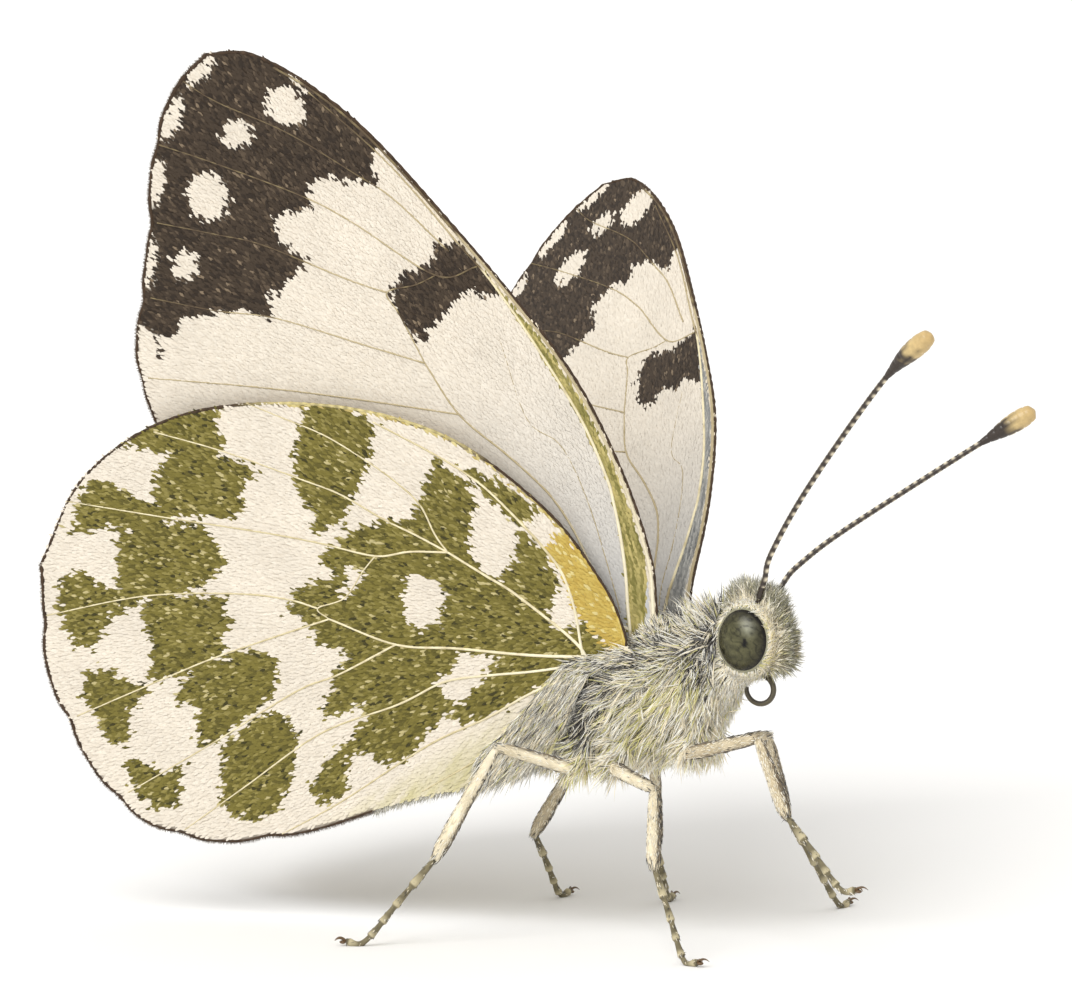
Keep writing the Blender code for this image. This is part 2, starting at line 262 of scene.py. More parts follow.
def make_fine_grain():
    """A shader group: fine flecks and streaks that break up a colour and its height."""
    group = bpy.data.node_groups.new("fine_grain", "ShaderNodeTree")
    sockets = {
        "INPUT": {"Colour": "Color", "Fleck Size": "Float", "Fleck Depth": "Float", "Roughness": "Float"},
        "OUTPUT": {"Colour": "Color", "Roughness": "Float", "Height": "Float"},
    }
    for way, kinds in sockets.items():
        for name, kind in kinds.items():
            group.interface.new_socket(name, in_out=way, socket_type="NodeSocket" + kind)
    given = group.nodes.new("NodeGroupInput").outputs
    place = group.nodes.new("ShaderNodeTexCoord").outputs["Object"]
    size, depth = given["Fleck Size"], given["Fleck Depth"]
    fleck = add_node(group, "ShaderNodeTexNoise", {"Detail": 3.0, "Vector": place, "Scale": size})
    fleck = fleck.outputs["Fac"]
    lowest = add_node(group, "ShaderNodeMath", {0: depth, 1: -0.5, 2: 1.0}, "MULTIPLY_ADD")
    fade = add_node(group, "ShaderNodeMath", {0: fleck, 1: depth, 2: lowest.outputs[0]}, "MULTIPLY_ADD")
    fade = fade.outputs[0]
    shade = add_node(group, "ShaderNodeVectorMath", {0: given["Colour"], "Scale": fade}, "SCALE")
    matt = add_node(group, "ShaderNodeMath", {0: given["Roughness"], 1: fade}, "MULTIPLY")
    results = {"Colour": shade.outputs[0], "Roughness": matt.outputs[0], "Height": fleck}
    add_node(group, "NodeGroupOutput", results)
    return group


fine_grain = make_fine_grain()
RELIEF = 0.02 * MM  # how deep a bump may seem


def grained_material(name, roughness, fleck_size, fleck_depth, bump, sheen=0.0, coat=0.0, specular=0.35):
    """A finish that takes its colour from the piece's own tint and is broken up by fine grain."""
    material = bpy.data.materials.new(name)
    material.use_nodes = True
    tree = material.node_tree
    tint = tree.nodes.new("ShaderNodeAttribute")
    tint.attribute_name = "tint"
    grain = tree.nodes.new("ShaderNodeGroup")
    grain.node_tree = fine_grain
    flecks = {"Fleck Size": fleck_size, "Fleck Depth": fleck_depth}
    wire(tree, grain, {"Colour": tint.outputs["Color"], "Roughness": roughness, **flecks})
    height = grain.outputs["Height"]
    relief = add_node(tree, "ShaderNodeBump", {"Strength": bump, "Distance": RELIEF, "Height": height})
    wire(tree, tree.nodes["Principled BSDF"], {
        "Base Color": grain.outputs["Colour"],
        "Roughness": grain.outputs["Roughness"],
        "Normal": relief.outputs["Normal"],
        "Sheen Weight": sheen,
        "Coat Weight": coat,
        "Specular IOR Level": specular,
    })
    return material


skin_parts = [trunk(CHEST_STATIONS, 24, 36), trunk(BELLY_STATIONS, 30, 28)]
head_points, head_faces = ellipsoid(HEAD_CENTRE, HEAD_RADII)
above_chin = (head_points - CHIN_POINT) @ np.array(CHIN_WAY)
head_points -= np.outer(np.minimum(above_chin, 0.0), CHIN_WAY)
skin_parts.append((head_points, head_faces))
skin_parts.append(ellipsoid(FACE_CENTRE, FACE_RADII))
for sign in SIDES.values():
    skin_parts.append(ellipsoid(np.array(RIM_CENTRE) * (1, sign, 1), RIM_RADII))
    palp = np.array(PALP_LINE) * (1, sign, 1)
    skin_parts.append(tube(evenly(curve_through(palp, 6), 14), PALP_RADII, 14))
for hip in HIPS.values():
    start = hip * np.array(COXA_SLANT) + COXA_TOP
    skin_parts.append(tube(evenly(np.array([start, hip]), 6), COXA_RADII, 14))


def read_out(items, field, kind):
    """One field of all of a mesh's points or triangles, as an array."""
    values = np.empty(len(items) * 3, kind)
    items.foreach_get(field, values)
    return values.reshape(-1, 3)


def one_skin(parts):
    """The parts grown together as one closed skin, with ring grooves pressed into the belly."""
    points, faces = join(parts)
    rough = bpy.data.meshes.new("rough_skin")
    rough.from_pydata(points.tolist(), [], faces.tolist())
    blank = bpy.data.objects.new("rough_skin", rough)
    bpy.context.collection.objects.link(blank)
    remesh = blank.modifiers.new("one_skin", "REMESH")
    remesh.mode = "VOXEL"
    remesh.voxel_size = SKIN_CELL
    soften = blank.modifiers.new("soften", "SMOOTH")
    soften.factor = 0.5
    soften.iterations = 6
    made = bpy.data.meshes.new_from_object(blank.evaluated_get(bpy.context.evaluated_depsgraph_get()))
    made.calc_loop_triangles()
    points = read_out(made.vertices, "co", float)
    normals = read_out(made.vertices, "normal", float)
    faces = read_out(made.loop_triangles, "vertices", np.int32)
    bpy.data.objects.remove(blank)
    for mesh in (rough, made):
        bpy.data.meshes.remove(mesh)
    groove = np.cos(2 * np.pi * points[:, 0] / BELLY_RINGS) ** 12
    points += normals * (-RING_DEPTH * groove * (points[:, 0] < BELLY_START))[:, None]
    return points, faces


bpy.context.view_layer.update()
skin_points, skin_faces = one_skin(skin_parts)
cuticle = grained_material("cuticle", 0.7, 9000.0, 0.5, 0.6)
skin = add_piece("body_skin", (skin_points, skin_faces, cuticle_tint(skin_points)), cuticle)
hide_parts("head", "thorax", "abdomen", "palp_right", "palp_left")

# ---- Coat of hair -------------------------------------------------------------------
# Long soft hair clothes the chest, bristles stand on the crown and face round a smooth pale
# ring at each eye, and a short nap lies on the belly. Each hair grows from the skin, and
# neighbours draw together into locks: white, cream and grey ones with green and black.
# Mostly dark hair in the creases, along the wings' hinges and behind the head is painted shade.
HAIR_STEPS, SHORT_STEPS = (0.0, 0.42, 0.78), (0.0, 0.55)  # where a hair's rings stand along it
PATCH, MAP_BORDER = 0.003, 0.01  # a hair's patch on its coat's map, and the map's clear border
WHITE_HAIR, CREAM_HAIR = linear(255, 252, 240), linear(251, 239, 209)
GREEN_HAIR, MOSS_HAIR = linear(222, 216, 138), linear(104, 106, 66)
GREY_HAIR, BLACK_HAIR = linear(190, 185, 172), linear(40, 33, 27)
HAIR_SHADES = (WHITE_HAIR, CREAM_HAIR, GREEN_HAIR, GREY_HAIR, BLACK_HAIR)
CHEST_HAIRS, CHEST_LENGTH, CHEST_THICK = 9800, (0.6, 1.1), (0.02, 0.037)
COLLAR_HAIRS, COLLAR_LENGTH = 3600, (0.7, 1.2)
HEAD_HAIRS, HEAD_LENGTH, HEAD_THICK = 14500, (0.3, 0.5), (0.016, 0.03)
BELLY_HAIRS, BELLY_LENGTH, BELLY_THICK = 10500, (0.3, 0.5), (0.013, 0.02)
CHEST_LOCKS, HEAD_LOCKS, BELLY_LOCKS = (9, 0.34), (4, 0.28), (8, 0.15)  # hairs to a lock, and their stray
EYE_PLACE, EYE_RADII = (3.0, 0.75, -0.46), (0.86, 0.54, 1.02)  # where the dome sits in the fur
CHEST_REACH, CHEST_TOP = (-4.1, 2.05), 0.6  # between the belly and the head, and under the wings
HEAD_START = 1.9  # ahead of it the hair is the head's
CHEST_SEAM = ((-3.7, 2.4), (-4.0, -1.0))  # the line, ahead and up, between upper and lower coat
PAINTED_SHADE_FOLDS = (  # ahead, up, reach: creases, the wing hinge and the neck, where mostly dark hair paints the shade that falls there
    (0.5, -0.45, 0.4), (-0.35, -0.95, 0.45), (-1.3, -1.35, 0.4), (1.8, -1.2, 0.45), (2.1, -0.3, 0.4),
    (-2.0, -2.2, 0.4), (-2.15, -2.8, 0.42), (-2.4, -3.4, 0.42),
)
GREEN_STREAKS = (
    (0.75, -1.9, 0.55), (1.3, -1.6, 0.4), (-0.2, -2.9, 0.6), (-2.6, -4.6, 0.6), (0.2, -3.6, 0.5),
)


def scatter(points, faces, count, draw, wanted):
    """Roots spread over a mesh, closer where wanted is higher, with their outward ways."""
    a, b, c = points[faces.T]
    square = np.cross(b - a, c - a)
    normals = np.zeros_like(points)
    for k in range(3):
        np.add.at(normals, faces[:, k], square)
    normals = unit(normals)
    share = np.linalg.norm(square, axis=1) * wanted((a + b + c) / 3, unit(square))
    picked = draw.choice(len(faces), count, p=share / share.sum())
    u, v = draw.random(count), draw.random(count)
    over = u + v > 1
    u[over], v[over] = 1 - u[over], 1 - v[over]
    weights = np.stack([1 - u - v, u, v], axis=1)[:, :, None]
    corners = faces[picked]
    return (points[corners] * weights).sum(axis=1), unit((normals[corners] * weights).sum(axis=1))


def comb(roots, normals, lean, lift, lengths, per_lock, mess, draw):
    """The lie of each hair along lean, raised by lift, and the lock that draws its tip in."""
    count = max(len(roots) // per_lock, 1)
    leaders = draw.choice(len(roots), count, replace=False)
    blocks = np.array_split(roots, len(roots) // 2000 + 1)
    lock = [((block[:, None] - roots[leaders]) ** 2).sum(axis=2).argmin(axis=1) for block in blocks]
    lock = np.concatenate(lock)
    stray = draw.normal(0, mess, (count, 3))[lock] + draw.normal(0, 0.4 * mess, roots.shape)
    lean = unit(lean) + stray
    along = lean - normals * (lean * normals).sum(axis=1)[:, None]
    ways = unit(unit(along) + normals * lift[:, None])
    follow = leaders[lock]
    aim = roots[follow] + ways[follow] * lengths[:, None]
    pull = 0.45 * (aim - roots - ways * lengths[:, None]) / lengths[:, None]
    return unit(ways + pull), lock


def hair_mesh(roots, ways, lengths, thick, curl, base, tip, places, steps=HAIR_STEPS):
    """Three-sided tapering hairs: points, faces, tints and each hair's patch on the map."""
    aside = unit(np.cross(ways, (0.31, 0.87, 0.38)))
    above = np.cross(ways, aside)
    rows, patch = [], []
    for t in steps:
        middle = roots + ways * (lengths * t)[:, None] + curl * (lengths * t * t)[:, None]
        radius = (thick * (1 - t) ** 0.55)[:, None]
        for k in range(3):
            turn = 2 * np.pi * k / 3
            rows.append(middle + (aside * math.cos(turn) + above * math.sin(turn)) * radius)
            patch.append(((k - 1) * PATCH / 2, (t - 0.5) * PATCH))
    rows.append(roots + (ways + curl) * lengths[:, None])
    patch.append((0.0, PATCH / 2))
    points = np.stack(rows, axis=1)
    count, size = points.shape[:2]
    tips = [(size - 4 + k, size - 4 + (k + 1) % 3, size - 1) for k in range(3)]
    faces = repeated(np.vstack([strips(len(steps), 3), tips]), count, size)
    # A hair's colour runs from its base tint at the root to its tip tint; where a caller gives a darker
    # base, that is painted shade deep in the coat.
    share = np.append(np.repeat(steps, 3), 1.0)[:, None]
    tints = base[:, None] * (1 - share) + tip[:, None] * share
    patches = places[:, None] + patch
    points = points.reshape(-1, 3)
    points[:, 2] = np.maximum(points[:, 2], FLOOR)
    return points, faces, tints.reshape(-1, 3), patches.reshape(-1, 2)


def on_map(places):
    """Places from 0 to 1, kept clear of the map's border."""
    return MAP_BORDER + (1 - 2 * MAP_BORDER) * places


def body_map(points):
    """A place on the unrolled skin: round the body, then along it."""
    spine = np.interp(points[:, 0], (-10.9, -4.5, -0.1, 3.0), (-4.95, -4.15, -2.5, -0.8))
    turn = np.arctan2(points[:, 1], points[:, 2] - spine) / (2 * np.pi) + 0.5
    return on_map(np.c_[turn, (points[:, 0] + 11.0) / 16.0])


def pick(shades, weights, draw):
    """One shade for each hair, drawn by its weights."""
    weights = np.maximum(np.stack(np.broadcast_arrays(*weights), axis=1), 0.0)
    edges = np.cumsum(weights / weights.sum(axis=1, keepdims=True), axis=1)
    chosen = (draw.random(len(edges))[:, None] > edges).sum(axis=1)
    return np.array(shades)[np.minimum(chosen, len(shades) - 1)]


def spread(low_high, count, draw):
    return draw.uniform(*low_high, count)


def zone(roots, places):
    """How far each root, seen from the side, lies within any of the round places."""
    found = np.zeros(len(roots))
    for ahead, up, reach in places:
        gap = ((roots[:, 0] - ahead) ** 2 + (roots[:, 2] - up) ** 2) / reach ** 2
        found = np.maximum(found, np.exp(-gap))
    return found


hair_finish = grained_material("hair", 0.7, 4000.0, 0.25, 0.15, sheen=0.6, specular=0.3)


def chest_hair(name, count, seed, wanted, collar):
    draw = np.random.default_rng(seed)
    roots, normals = scatter(skin_points, skin_faces, count, draw, wanted)
    x, y, z = roots.T
    front = portion((x - 0.2) / 1.6)
    low = portion((-3.0 - z) / 1.6)
    top = portion(normals[:, 2] * 1.6) if collar else np.zeros(count)
    forward = -0.75 + 0.5 * front + 0.15 * low - 0.2 * top
    upward = -0.75 - 0.3 * front + top * (1.3 + 0.9 * front)
    lean = np.c_[forward, 0.12 * np.sign(y), upward]
    lengths = spread(COLLAR_LENGTH if collar else CHEST_LENGTH, count, draw)
    lengths = lengths * (1 - 0.2 * low) * (1 - 0.2 * front * (1 - top))
    lift = spread((0.25, 0.6), count, draw) + top * (0.6 + 0.7 * front)
    ways, lock = comb(roots, normals, lean, lift, lengths, *CHEST_LOCKS, draw)
    clump = ripple(roots, 0.7, seed + 5)
    fold_shade = zone(roots, PAINTED_SHADE_FOLDS)
    # Dark hair gathered in the folds is painted shade; the scattered dark hair elsewhere is the coat's
    # own.
    dark = 0.02 + 0.015 * (1 - front) + fold_shade * (3.2 + 1.6 * clump)
    green = 0.13 + 0.6 * zone(roots, GREEN_STREAKS)
    grey = 0.07 + 0.3 * portion((-2.0 - x) / 1.2) + 0.08 * clump * (1 - front)
    cream = 0.36 + 0.2 * low + 0.2 * front
    tip = pick(HAIR_SHADES, (0.5 + 0.25 * front, cream, green, grey, dark), draw)
    curl = draw.normal(0, 0.13, (lock.max() + 1, 3))[lock]
    curl = curl + draw.normal(0, 0.1, (count, 3)) + (0.0, 0.0, -0.12)
    # Each hair is darker at its root: painted shade deep in the coat.
    base = tip * draw.uniform(0.7, 1.0, count)[:, None]
    thick = spread(CHEST_THICK, count, draw)
    shape = hair_mesh(roots, ways, lengths, thick, curl, base, tip, body_map(roots))
    add_piece(name, shape, hair_finish)


def on_chest(points):
    x, _, z = points.T
    return (x > CHEST_REACH[0]) & (x < CHEST_REACH[1]) & (z < CHEST_TOP)


def over_seam(points):
    return points[:, 2] > np.interp(points[:, 0], *CHEST_SEAM)


def upper_half(points, _):
    return on_chest(points) & over_seam(points)


def lower_half(points, _):
    return on_chest(points) & ~over_seam(points)


def on_collar(points, normals):
    x, _, z = points.T
    return on_chest(points) & (normals[:, 2] > 0.25) & (x > -3.0) & (z > -2.4)


chest_hair("chest_hair_upper", CHEST_HAIRS, 11, upper_half, False)
chest_hair("chest_hair_lower", CHEST_HAIRS, 23, lower_half, False)
chest_hair("collar_hair", COLLAR_HAIRS, 29, on_collar, True)


def eye_reach(points):
    """How far out from an eye's middle each point is, seen from the side: 1 at its outline."""
    out = (points - EYE_PLACE) / EYE_RADII
    return np.hypot(out[:, 0], out[:, 2])


def on_head(points, _):
    eye = (eye_reach(points) < 1.02) & (np.abs(points[:, 1]) > 0.45)
    return (points[:, 0] > HEAD_START) & ~eye


def head_hair(count):
    draw = np.random.default_rng(37)
    roots, normals = scatter(skin_points, skin_faces, count, draw, on_head)
    x, y, z = roots.T
    reach = eye_reach(roots)
    crown = portion((z - 0.15) / 0.5)
    face = portion((x - 3.35) / 0.4) * (1 - crown)
    palp = portion((x - 3.95) / 0.15) * (z < 0.1)
    back = portion((2.75 - x) / 0.5) * portion((0.6 - z) / 0.5)
    ring = portion((1.36 - reach) / 0.2) * (np.abs(y) > 0.4)
    out = np.c_[x - EYE_PLACE[0], 0.15 * y, z - EYE_PLACE[2]]
    lean = unit(out) * (1 - back)[:, None] + np.array((-0.9, 0.0, -0.25)) * back[:, None]
    lean[:, 2] += 0.7 * face - 0.5 * portion((-1.0 - z) / 0.5)
    bristle = portion(crown + face) * (1 - ring)
    longer = 1 + 0.65 * crown + 0.35 * back + 0.45 * face - 0.35 * palp
    lengths = spread(HEAD_LENGTH, count, draw) * longer * (1 - 0.45 * ring)
    lift = spread((0.2, 0.5), count, draw) + 0.9 * bristle - 0.25 * ring
    ways, _ = comb(roots, normals, lean, np.maximum(lift, 0.1), lengths, *HEAD_LOCKS, draw)
    # Dark hair behind the head, in the neck's crease, is painted shade; the dark bristles of crown and
    # face are their own colour.
    dark = 0.02 + 0.8 * bristle + 0.5 * back * zone(roots, ((2.2, -0.4, 0.5), (2.2, -1.2, 0.4)))
    weights = (0.6, 0.3 + 0.5 * ring, 0.12 + 0.1 * face, 0.06 + 0.04 * bristle, dark)
    tip = pick(HAIR_SHADES, weights, draw)
    mossy = (draw.random(count) < 0.55 * bristle)[:, None]
    tip = np.where(mossy, MOSS_HAIR, tip)
    # Darker roots are painted shade deep in the coat; the bristles' pale roots are their own colour.
    base = mixed(tip * 0.85, CREAM_HAIR, 0.75 * bristle)
    tip = mixed(tip, linear(240, 218, 160), ring * face * 0.5)
    curl = draw.normal(0, 0.1, (count, 3)) + (0.0, 0.0, -0.04)
    thick = spread(HEAD_THICK, count, draw) * (1 - 0.35 * ring)
    shape = hair_mesh(roots, ways, lengths, thick, curl, base, tip, body_map(roots), SHORT_STEPS)
    add_piece("head_hair", shape, hair_finish)


head_hair(HEAD_HAIRS)


def on_belly(points, _):
    return points[:, 0] < BELLY_START


def belly_hair(count):
    draw = np.random.default_rng(41)
    roots, normals = scatter(skin_points, skin_faces, count, draw, on_belly)
    above = portion(normals[:, 2])
    lengths = spread(BELLY_LENGTH, count, draw)
    lift = spread((0.12, 0.35), count, draw)
    ways, _ = comb(roots, normals, (-1.0, 0.0, -0.25), lift, lengths, *BELLY_LOCKS, draw)
    weights = (0.5 + 0.4 * (1 - above), 0.4, 0.12, 0.2 + 0.3 * above, 0.03 + 0.2 * above)
    tip = pick(HAIR_SHADES, weights, draw)
    thick = spread(BELLY_THICK, count, draw)
    curl = np.array((0.0, 0.0, -0.08))
    # Each hair is darker at its root: painted shade deep in the coat.
    shape = hair_mesh(roots, ways, lengths, thick, curl, tip * 0.8, tip, body_map(roots), SHORT_STEPS)
    add_piece("belly_hair", shape, hair_finish)


belly_hair(BELLY_HAIRS)

# ---- Eyes ---------------------------------------------------------------------------
# Each compound eye is a glossy dome of thousands of tiny facets, set in the side of the
# head. It is dark olive with a small black false pupil and nearly black at its very rim;
# a painted highlight sits high on its front and painted shade darkens it from the middle out.
FACET = 0.035
PUPIL_PLACE, PUPIL_SIZE = (0.25, -0.02), (0.075, 0.14)
PAINTED_HIGHLIGHT_PLACE, PAINTED_HIGHLIGHT_SIZE = (0.36, 0.5), (0.05, 0.07)  # the painted highlight's place, and its squared reach


def eye_tint(points):
    place = (points - EYE_PLACE)[:, ::2]
    edge = eye_reach(points)
    # The sheen here is a painted highlight, and the darkening from the middle out is painted shade on the
    # curve of the dome.
    sheen = np.exp(-((place - PAINTED_HIGHLIGHT_PLACE) ** 2 / PAINTED_HIGHLIGHT_SIZE).sum(axis=1))
    shade = mixed(linear(78, 76, 52), linear(146, 146, 128), 0.8 * sheen)
    shade = mixed(shade, linear(32, 29, 20), portion((edge - 0.55) / 0.4) * 0.85)
    shade = mixed(shade, linear(16, 13, 10), (edge - 0.9) / 0.05)
    pupil = np.hypot(*((place - PUPIL_PLACE) / PUPIL_SIZE).T)
    shade = mixed(shade, linear(10, 9, 8), (1.3 - pupil) / 0.4)
    veined = np.clip(np.abs(ripple(points, 0.4, 5)) * 6, 0.4, 1.0)
    return shade * (veined * (1 + 0.3 * ripple(points, 0.22, 6)))[:, None]


def eye_material():
    material = grained_material("eye", 0.28, 9000.0, 0.6, 0.05, coat=0.08, specular=0.22)
    tree = material.node_tree
    place = tree.nodes.new("ShaderNodeTexCoord").outputs["Object"]
    grid = {"Vector": place, "Scale": 1.0 / (FACET * MM), "Randomness": 0.25}
    height = add_node(tree, "ShaderNodeTexVoronoi", grid).outputs["Distance"]
    bump = {"Strength": 0.35, "Distance": RELIEF / 2, "Height": height}
    relief = add_node(tree, "ShaderNodeBump", bump)
    relief.invert = True
    wire(tree, tree.nodes["Principled BSDF"], {"Normal": relief.outputs["Normal"], "Coat Roughness": 0.2})
    return material


eye_finish = eye_material()
for side, sign in SIDES.items():
    points, faces = ellipsoid(np.array(EYE_PLACE) * (1, sign, 1), EYE_RADII, 96, 64)
    dome = add_piece(f"eye_dome_{side}", (points, faces, eye_tint(points)), eye_finish)
    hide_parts(f"eye_{side}")

# ---- Tongue -------------------------------------------------------------------------
# The sucking tube hangs from under the face, coiled for most of one turn. It is two dark
# brown horny channels zipped side by side, ringed all along so that it can roll up.
TONGUE_ROOT, TONGUE_CENTRE = (3.3, 0.0, -1.4), (3.24, 0.0, -2.14)
TONGUE_CURL, TONGUE_TURN = 0.48, (70.0, -185.0)  # the coil's radius, and its start and end
TONGUE_RADIUS, TONGUE_RINGS, TONGUE_SIDES = 0.1, 60, 16


def make_tongue():
    turn = np.radians(np.linspace(*TONGUE_TURN, TONGUE_RINGS * 4))
    line = np.array(TONGUE_CENTRE) + TONGUE_CURL * np.c_[np.cos(turn), 0 * turn, np.sin(turn)]
    line = np.vstack([np.linspace(TONGUE_ROOT, line[0], 8)[:-1], line])
    reach = np.linspace(0, 1, len(line))
    bands = np.sin(reach * TONGUE_RINGS * 2 * np.pi)
    points, faces = tube(line, TONGUE_RADIUS * (1 - 0.22 * reach) * (1 + 0.06 * bands), TONGUE_SIDES)
    ring_bands = np.r_[np.repeat(bands, TONGUE_SIDES), 0, 0]
    inner = np.hypot(*(points - TONGUE_CENTRE)[:, ::2].T) < TONGUE_CURL - 0.03
    tint = mixed(linear(104, 96, 72), linear(46, 38, 30), 0.5 - 0.25 * ring_bands + 0.4 * inner)
    tint[np.abs(points[:, 1]) < 0.02] *= 0.6
    return points, faces, tint


horn = grained_material("horn", 0.4, 6000.0, 0.5, 0.3, coat=0.15, specular=0.4)
tongue = add_piece("coiled_tongue", make_tongue(), horn)
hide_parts("proboscis")

# ---- Antennae -----------------------------------------------------------------------
# Each feeler is a string of thirty-seven short joints, dark brown with a cream dash on
# every joint of the stalk. Its end swells to a club, black at its foot and buff at its tip.
ANTENNA_LINES = {
    "right": (
        (3.21, -0.35, 0.5), (3.6, -0.48, 1.5), (3.98, -0.74, 2.46), (5.5, -1.13, 4.79),
        (8.43, -1.91, 8.41), (10.2, -2.3, 9.97),
    ),
    "left": (
        (3.5, 0.35, 0.5), (3.82, 0.65, 1.35), (4.2, 1.1, 1.9), (5.35, 2.05, 2.95), (8.56, 4.23, 5.34),
        (10.66, 5.2, 6.77),
    ),
}
ANTENNA_RADIUS, ANTENNA_JOINTS, ANTENNA_SIDES = 0.094, 37, 16
CLUB_RADIUS, CLUB_START = 0.33, 0.8


def make_antenna(side):
    line = evenly(curve_through(ANTENNA_LINES[side], 12), ANTENNA_JOINTS * 8 + 1)
    reach = np.linspace(0, 1, len(line))
    along_joint = (reach * ANTENNA_JOINTS) % 1.0
    club = portion((reach - CLUB_START) / (1 - CLUB_START))
    swell = np.sin(np.pi / 2 * np.minimum(club / 0.7, 1.0)) ** 1.6
    swell *= np.sqrt(portion(1 - (np.maximum(club - 0.74, 0.0) / 0.27) ** 2))
    joint = 1 - 0.14 * (np.abs(along_joint - 0.5) * 2) ** 6 * (1 - 0.6 * swell)
    radii = (ANTENNA_RADIUS + (CLUB_RADIUS - ANTENNA_RADIUS) * swell) * joint
    radii[-3:] *= (0.85, 0.6, 0.3)
    radii[:8] *= np.linspace(1.3, 1.0, 8)
    points, faces = tube(line, radii, ANTENNA_SIDES)
    ring_reach = np.r_[np.repeat(reach, ANTENNA_SIDES), 0, 1]
    along_joint = (ring_reach * ANTENNA_JOINTS) % 1.0
    turn = np.r_[np.tile(np.arange(ANTENNA_SIDES) / ANTENNA_SIDES, len(line)), 0, 0]
    ring_club = portion((ring_reach - CLUB_START) / (1 - CLUB_START))
    dash = portion(1.4 - np.abs(along_joint - 0.5) / 0.22) * (ring_club < 0.05) * (ring_reach > 0.07)
    dash *= portion(1.5 - np.abs(np.abs(turn - 0.5) - 0.25) / 0.14)
    tint = mixed(linear(50, 41, 34), linear(232, 219, 192), dash)
    split = ring_club + 0.06 * np.sin(turn * 44) + 0.05 * np.sin(turn * 75 + 2)
    split = split + 0.08 * ripple(points, 0.35, 9)
    buff = mixed(linear(206, 184, 132), linear(172, 138, 84), ring_club * 0.9 - 0.3)
    pale = portion((split - 0.5) / 0.2)
    tint = tint * (1 - pale)[:, None] + buff * pale[:, None]
    return points, faces, tint


for side in SIDES:
    feeler = add_piece(f"feeler_{side}", make_antenna(side), horn)
    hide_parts(f"antenna_{side}")

# ---- Legs ---------------------------------------------------------------------------
# Each leg is a thin horny tube in lengths: thigh, shin, and a foot of five short joints
# with two hooked claws and a pad. Cream scales cover thigh and shin, with dark bristles
# along their edges and round the shin's end; the foot is dark with a pale ring at each joint.
LEG_POINTS = {  # knee, ankle, then the toe's place in plan
    ("right", "hind"): ((-4.65, -3.2, -4.09), (-6.2, -4.6, -7.64), (-8.9, -5.7)),
    ("right", "mid"): ((0.93, -3.2, -5.13), (1.38, -4.2, -7.47), (3.2, -4.8)),
    ("right", "front"): ((4.22, -2.4, -3.37), (5.58, -3.2, -5.68), (8.2, -3.6)),
    ("left", "hind"): ((-4.9, 3.8, -5.3), (-7.1, 4.9, -8.2), (-6.8, 7.0)),
    ("left", "mid"): ((-2.3, 4.0, -5.4), (-2.95, 5.5, -8.4), (-3.3, 7.6)),
    ("left", "front"): ((2.23, 2.9, -4.08), (1.95, 5.0, -6.95), (2.55, 8.8)),
}
LIFTED_TOE = {("right", "front"): 2.65}  # its height above the floor
THIGH_RADII = (0.18, 0.23, 0.24, 0.23, 0.215, 0.205, 0.19, 0.12)
SHIN_RADII = (0.1, 0.17, 0.19, 0.2, 0.21, 0.225, 0.235, 0.23, 0.14)
FOOT_JOINTS = (0.0, 0.3, 0.5, 0.66, 0.8, 1.0)
FOOT_RADIUS, HEEL_REACH = 0.15, 0.6
CLAW_LENGTH, CLAW_RADII = 0.42, (0.05, 0.045, 0.035, 0.022, 0.006)
PAD_RADII = (0.11, 0.1, 0.06)
LEG_SIDES, FOOT_SIDES = 18, 12
LEG_HAIRS, LEG_LENGTH, LEG_THICK, LEG_LOCKS = 1650, (0.1, 0.2), (0.01, 0.018), (5, 0.1)
CLAW_BROWN = linear(96, 74, 48)


def foot_shape(ankle, toe):
    """The five joints of a foot, each wider at its far end, and how far along each point is."""
    outward = unit(np.append(toe[:2] - ankle[:2], 0.0))
    heel = toe - outward * HEEL_REACH
    line = evenly(curve_through([ankle, ankle + (heel - ankle) * 0.5, heel, toe], 12), 81)
    reach = np.linspace(0, 1, len(line))
    joint = np.clip(np.searchsorted(FOOT_JOINTS, reach, side="right") - 1, 0, 4)
    starts, ends = np.array(FOOT_JOINTS)[joint], np.array(FOOT_JOINTS)[joint + 1]
    along_joint = (reach - starts) / (ends - starts)
    radii = FOOT_RADIUS * (0.62 + 0.42 * along_joint ** 1.4) * (1 - 0.12 * reach)
    radii *= np.where(along_joint > 0.93, 0.78, 1.0)
    points, faces = tube(line, radii, FOOT_SIDES)
    points[:, 2] = np.maximum(points[:, 2], FLOOR)
    return points, faces, np.r_[np.repeat(along_joint, FOOT_SIDES), 0, 1], line


def claw_shapes(toe, outward):
    """A pair of hooks that curve down to the floor, and the pad between them."""
    found = []
    aside = np.cross(outward, (0.0, 0.0, 1.0))
    for sign in (-1, 1):
        way = unit(outward + aside * 0.42 * sign)
        t = np.linspace(0, 1, 12)
        rise = 0.1 * np.sin(np.pi * t * 0.8) - 0.135 * t ** 2
        line = toe + np.outer(t * CLAW_LENGTH, way) + np.outer(rise, (0, 0, 1))
        found.append(tube(line, CLAW_RADII, 8))
    pad = ellipsoid(toe + outward * 0.12 - (0, 0, 0.055), PAD_RADII, 14, 8)
    points, faces = join([*found, pad])
    points[:, 2] = np.maximum(points[:, 2], FLOOR)
    return points, faces


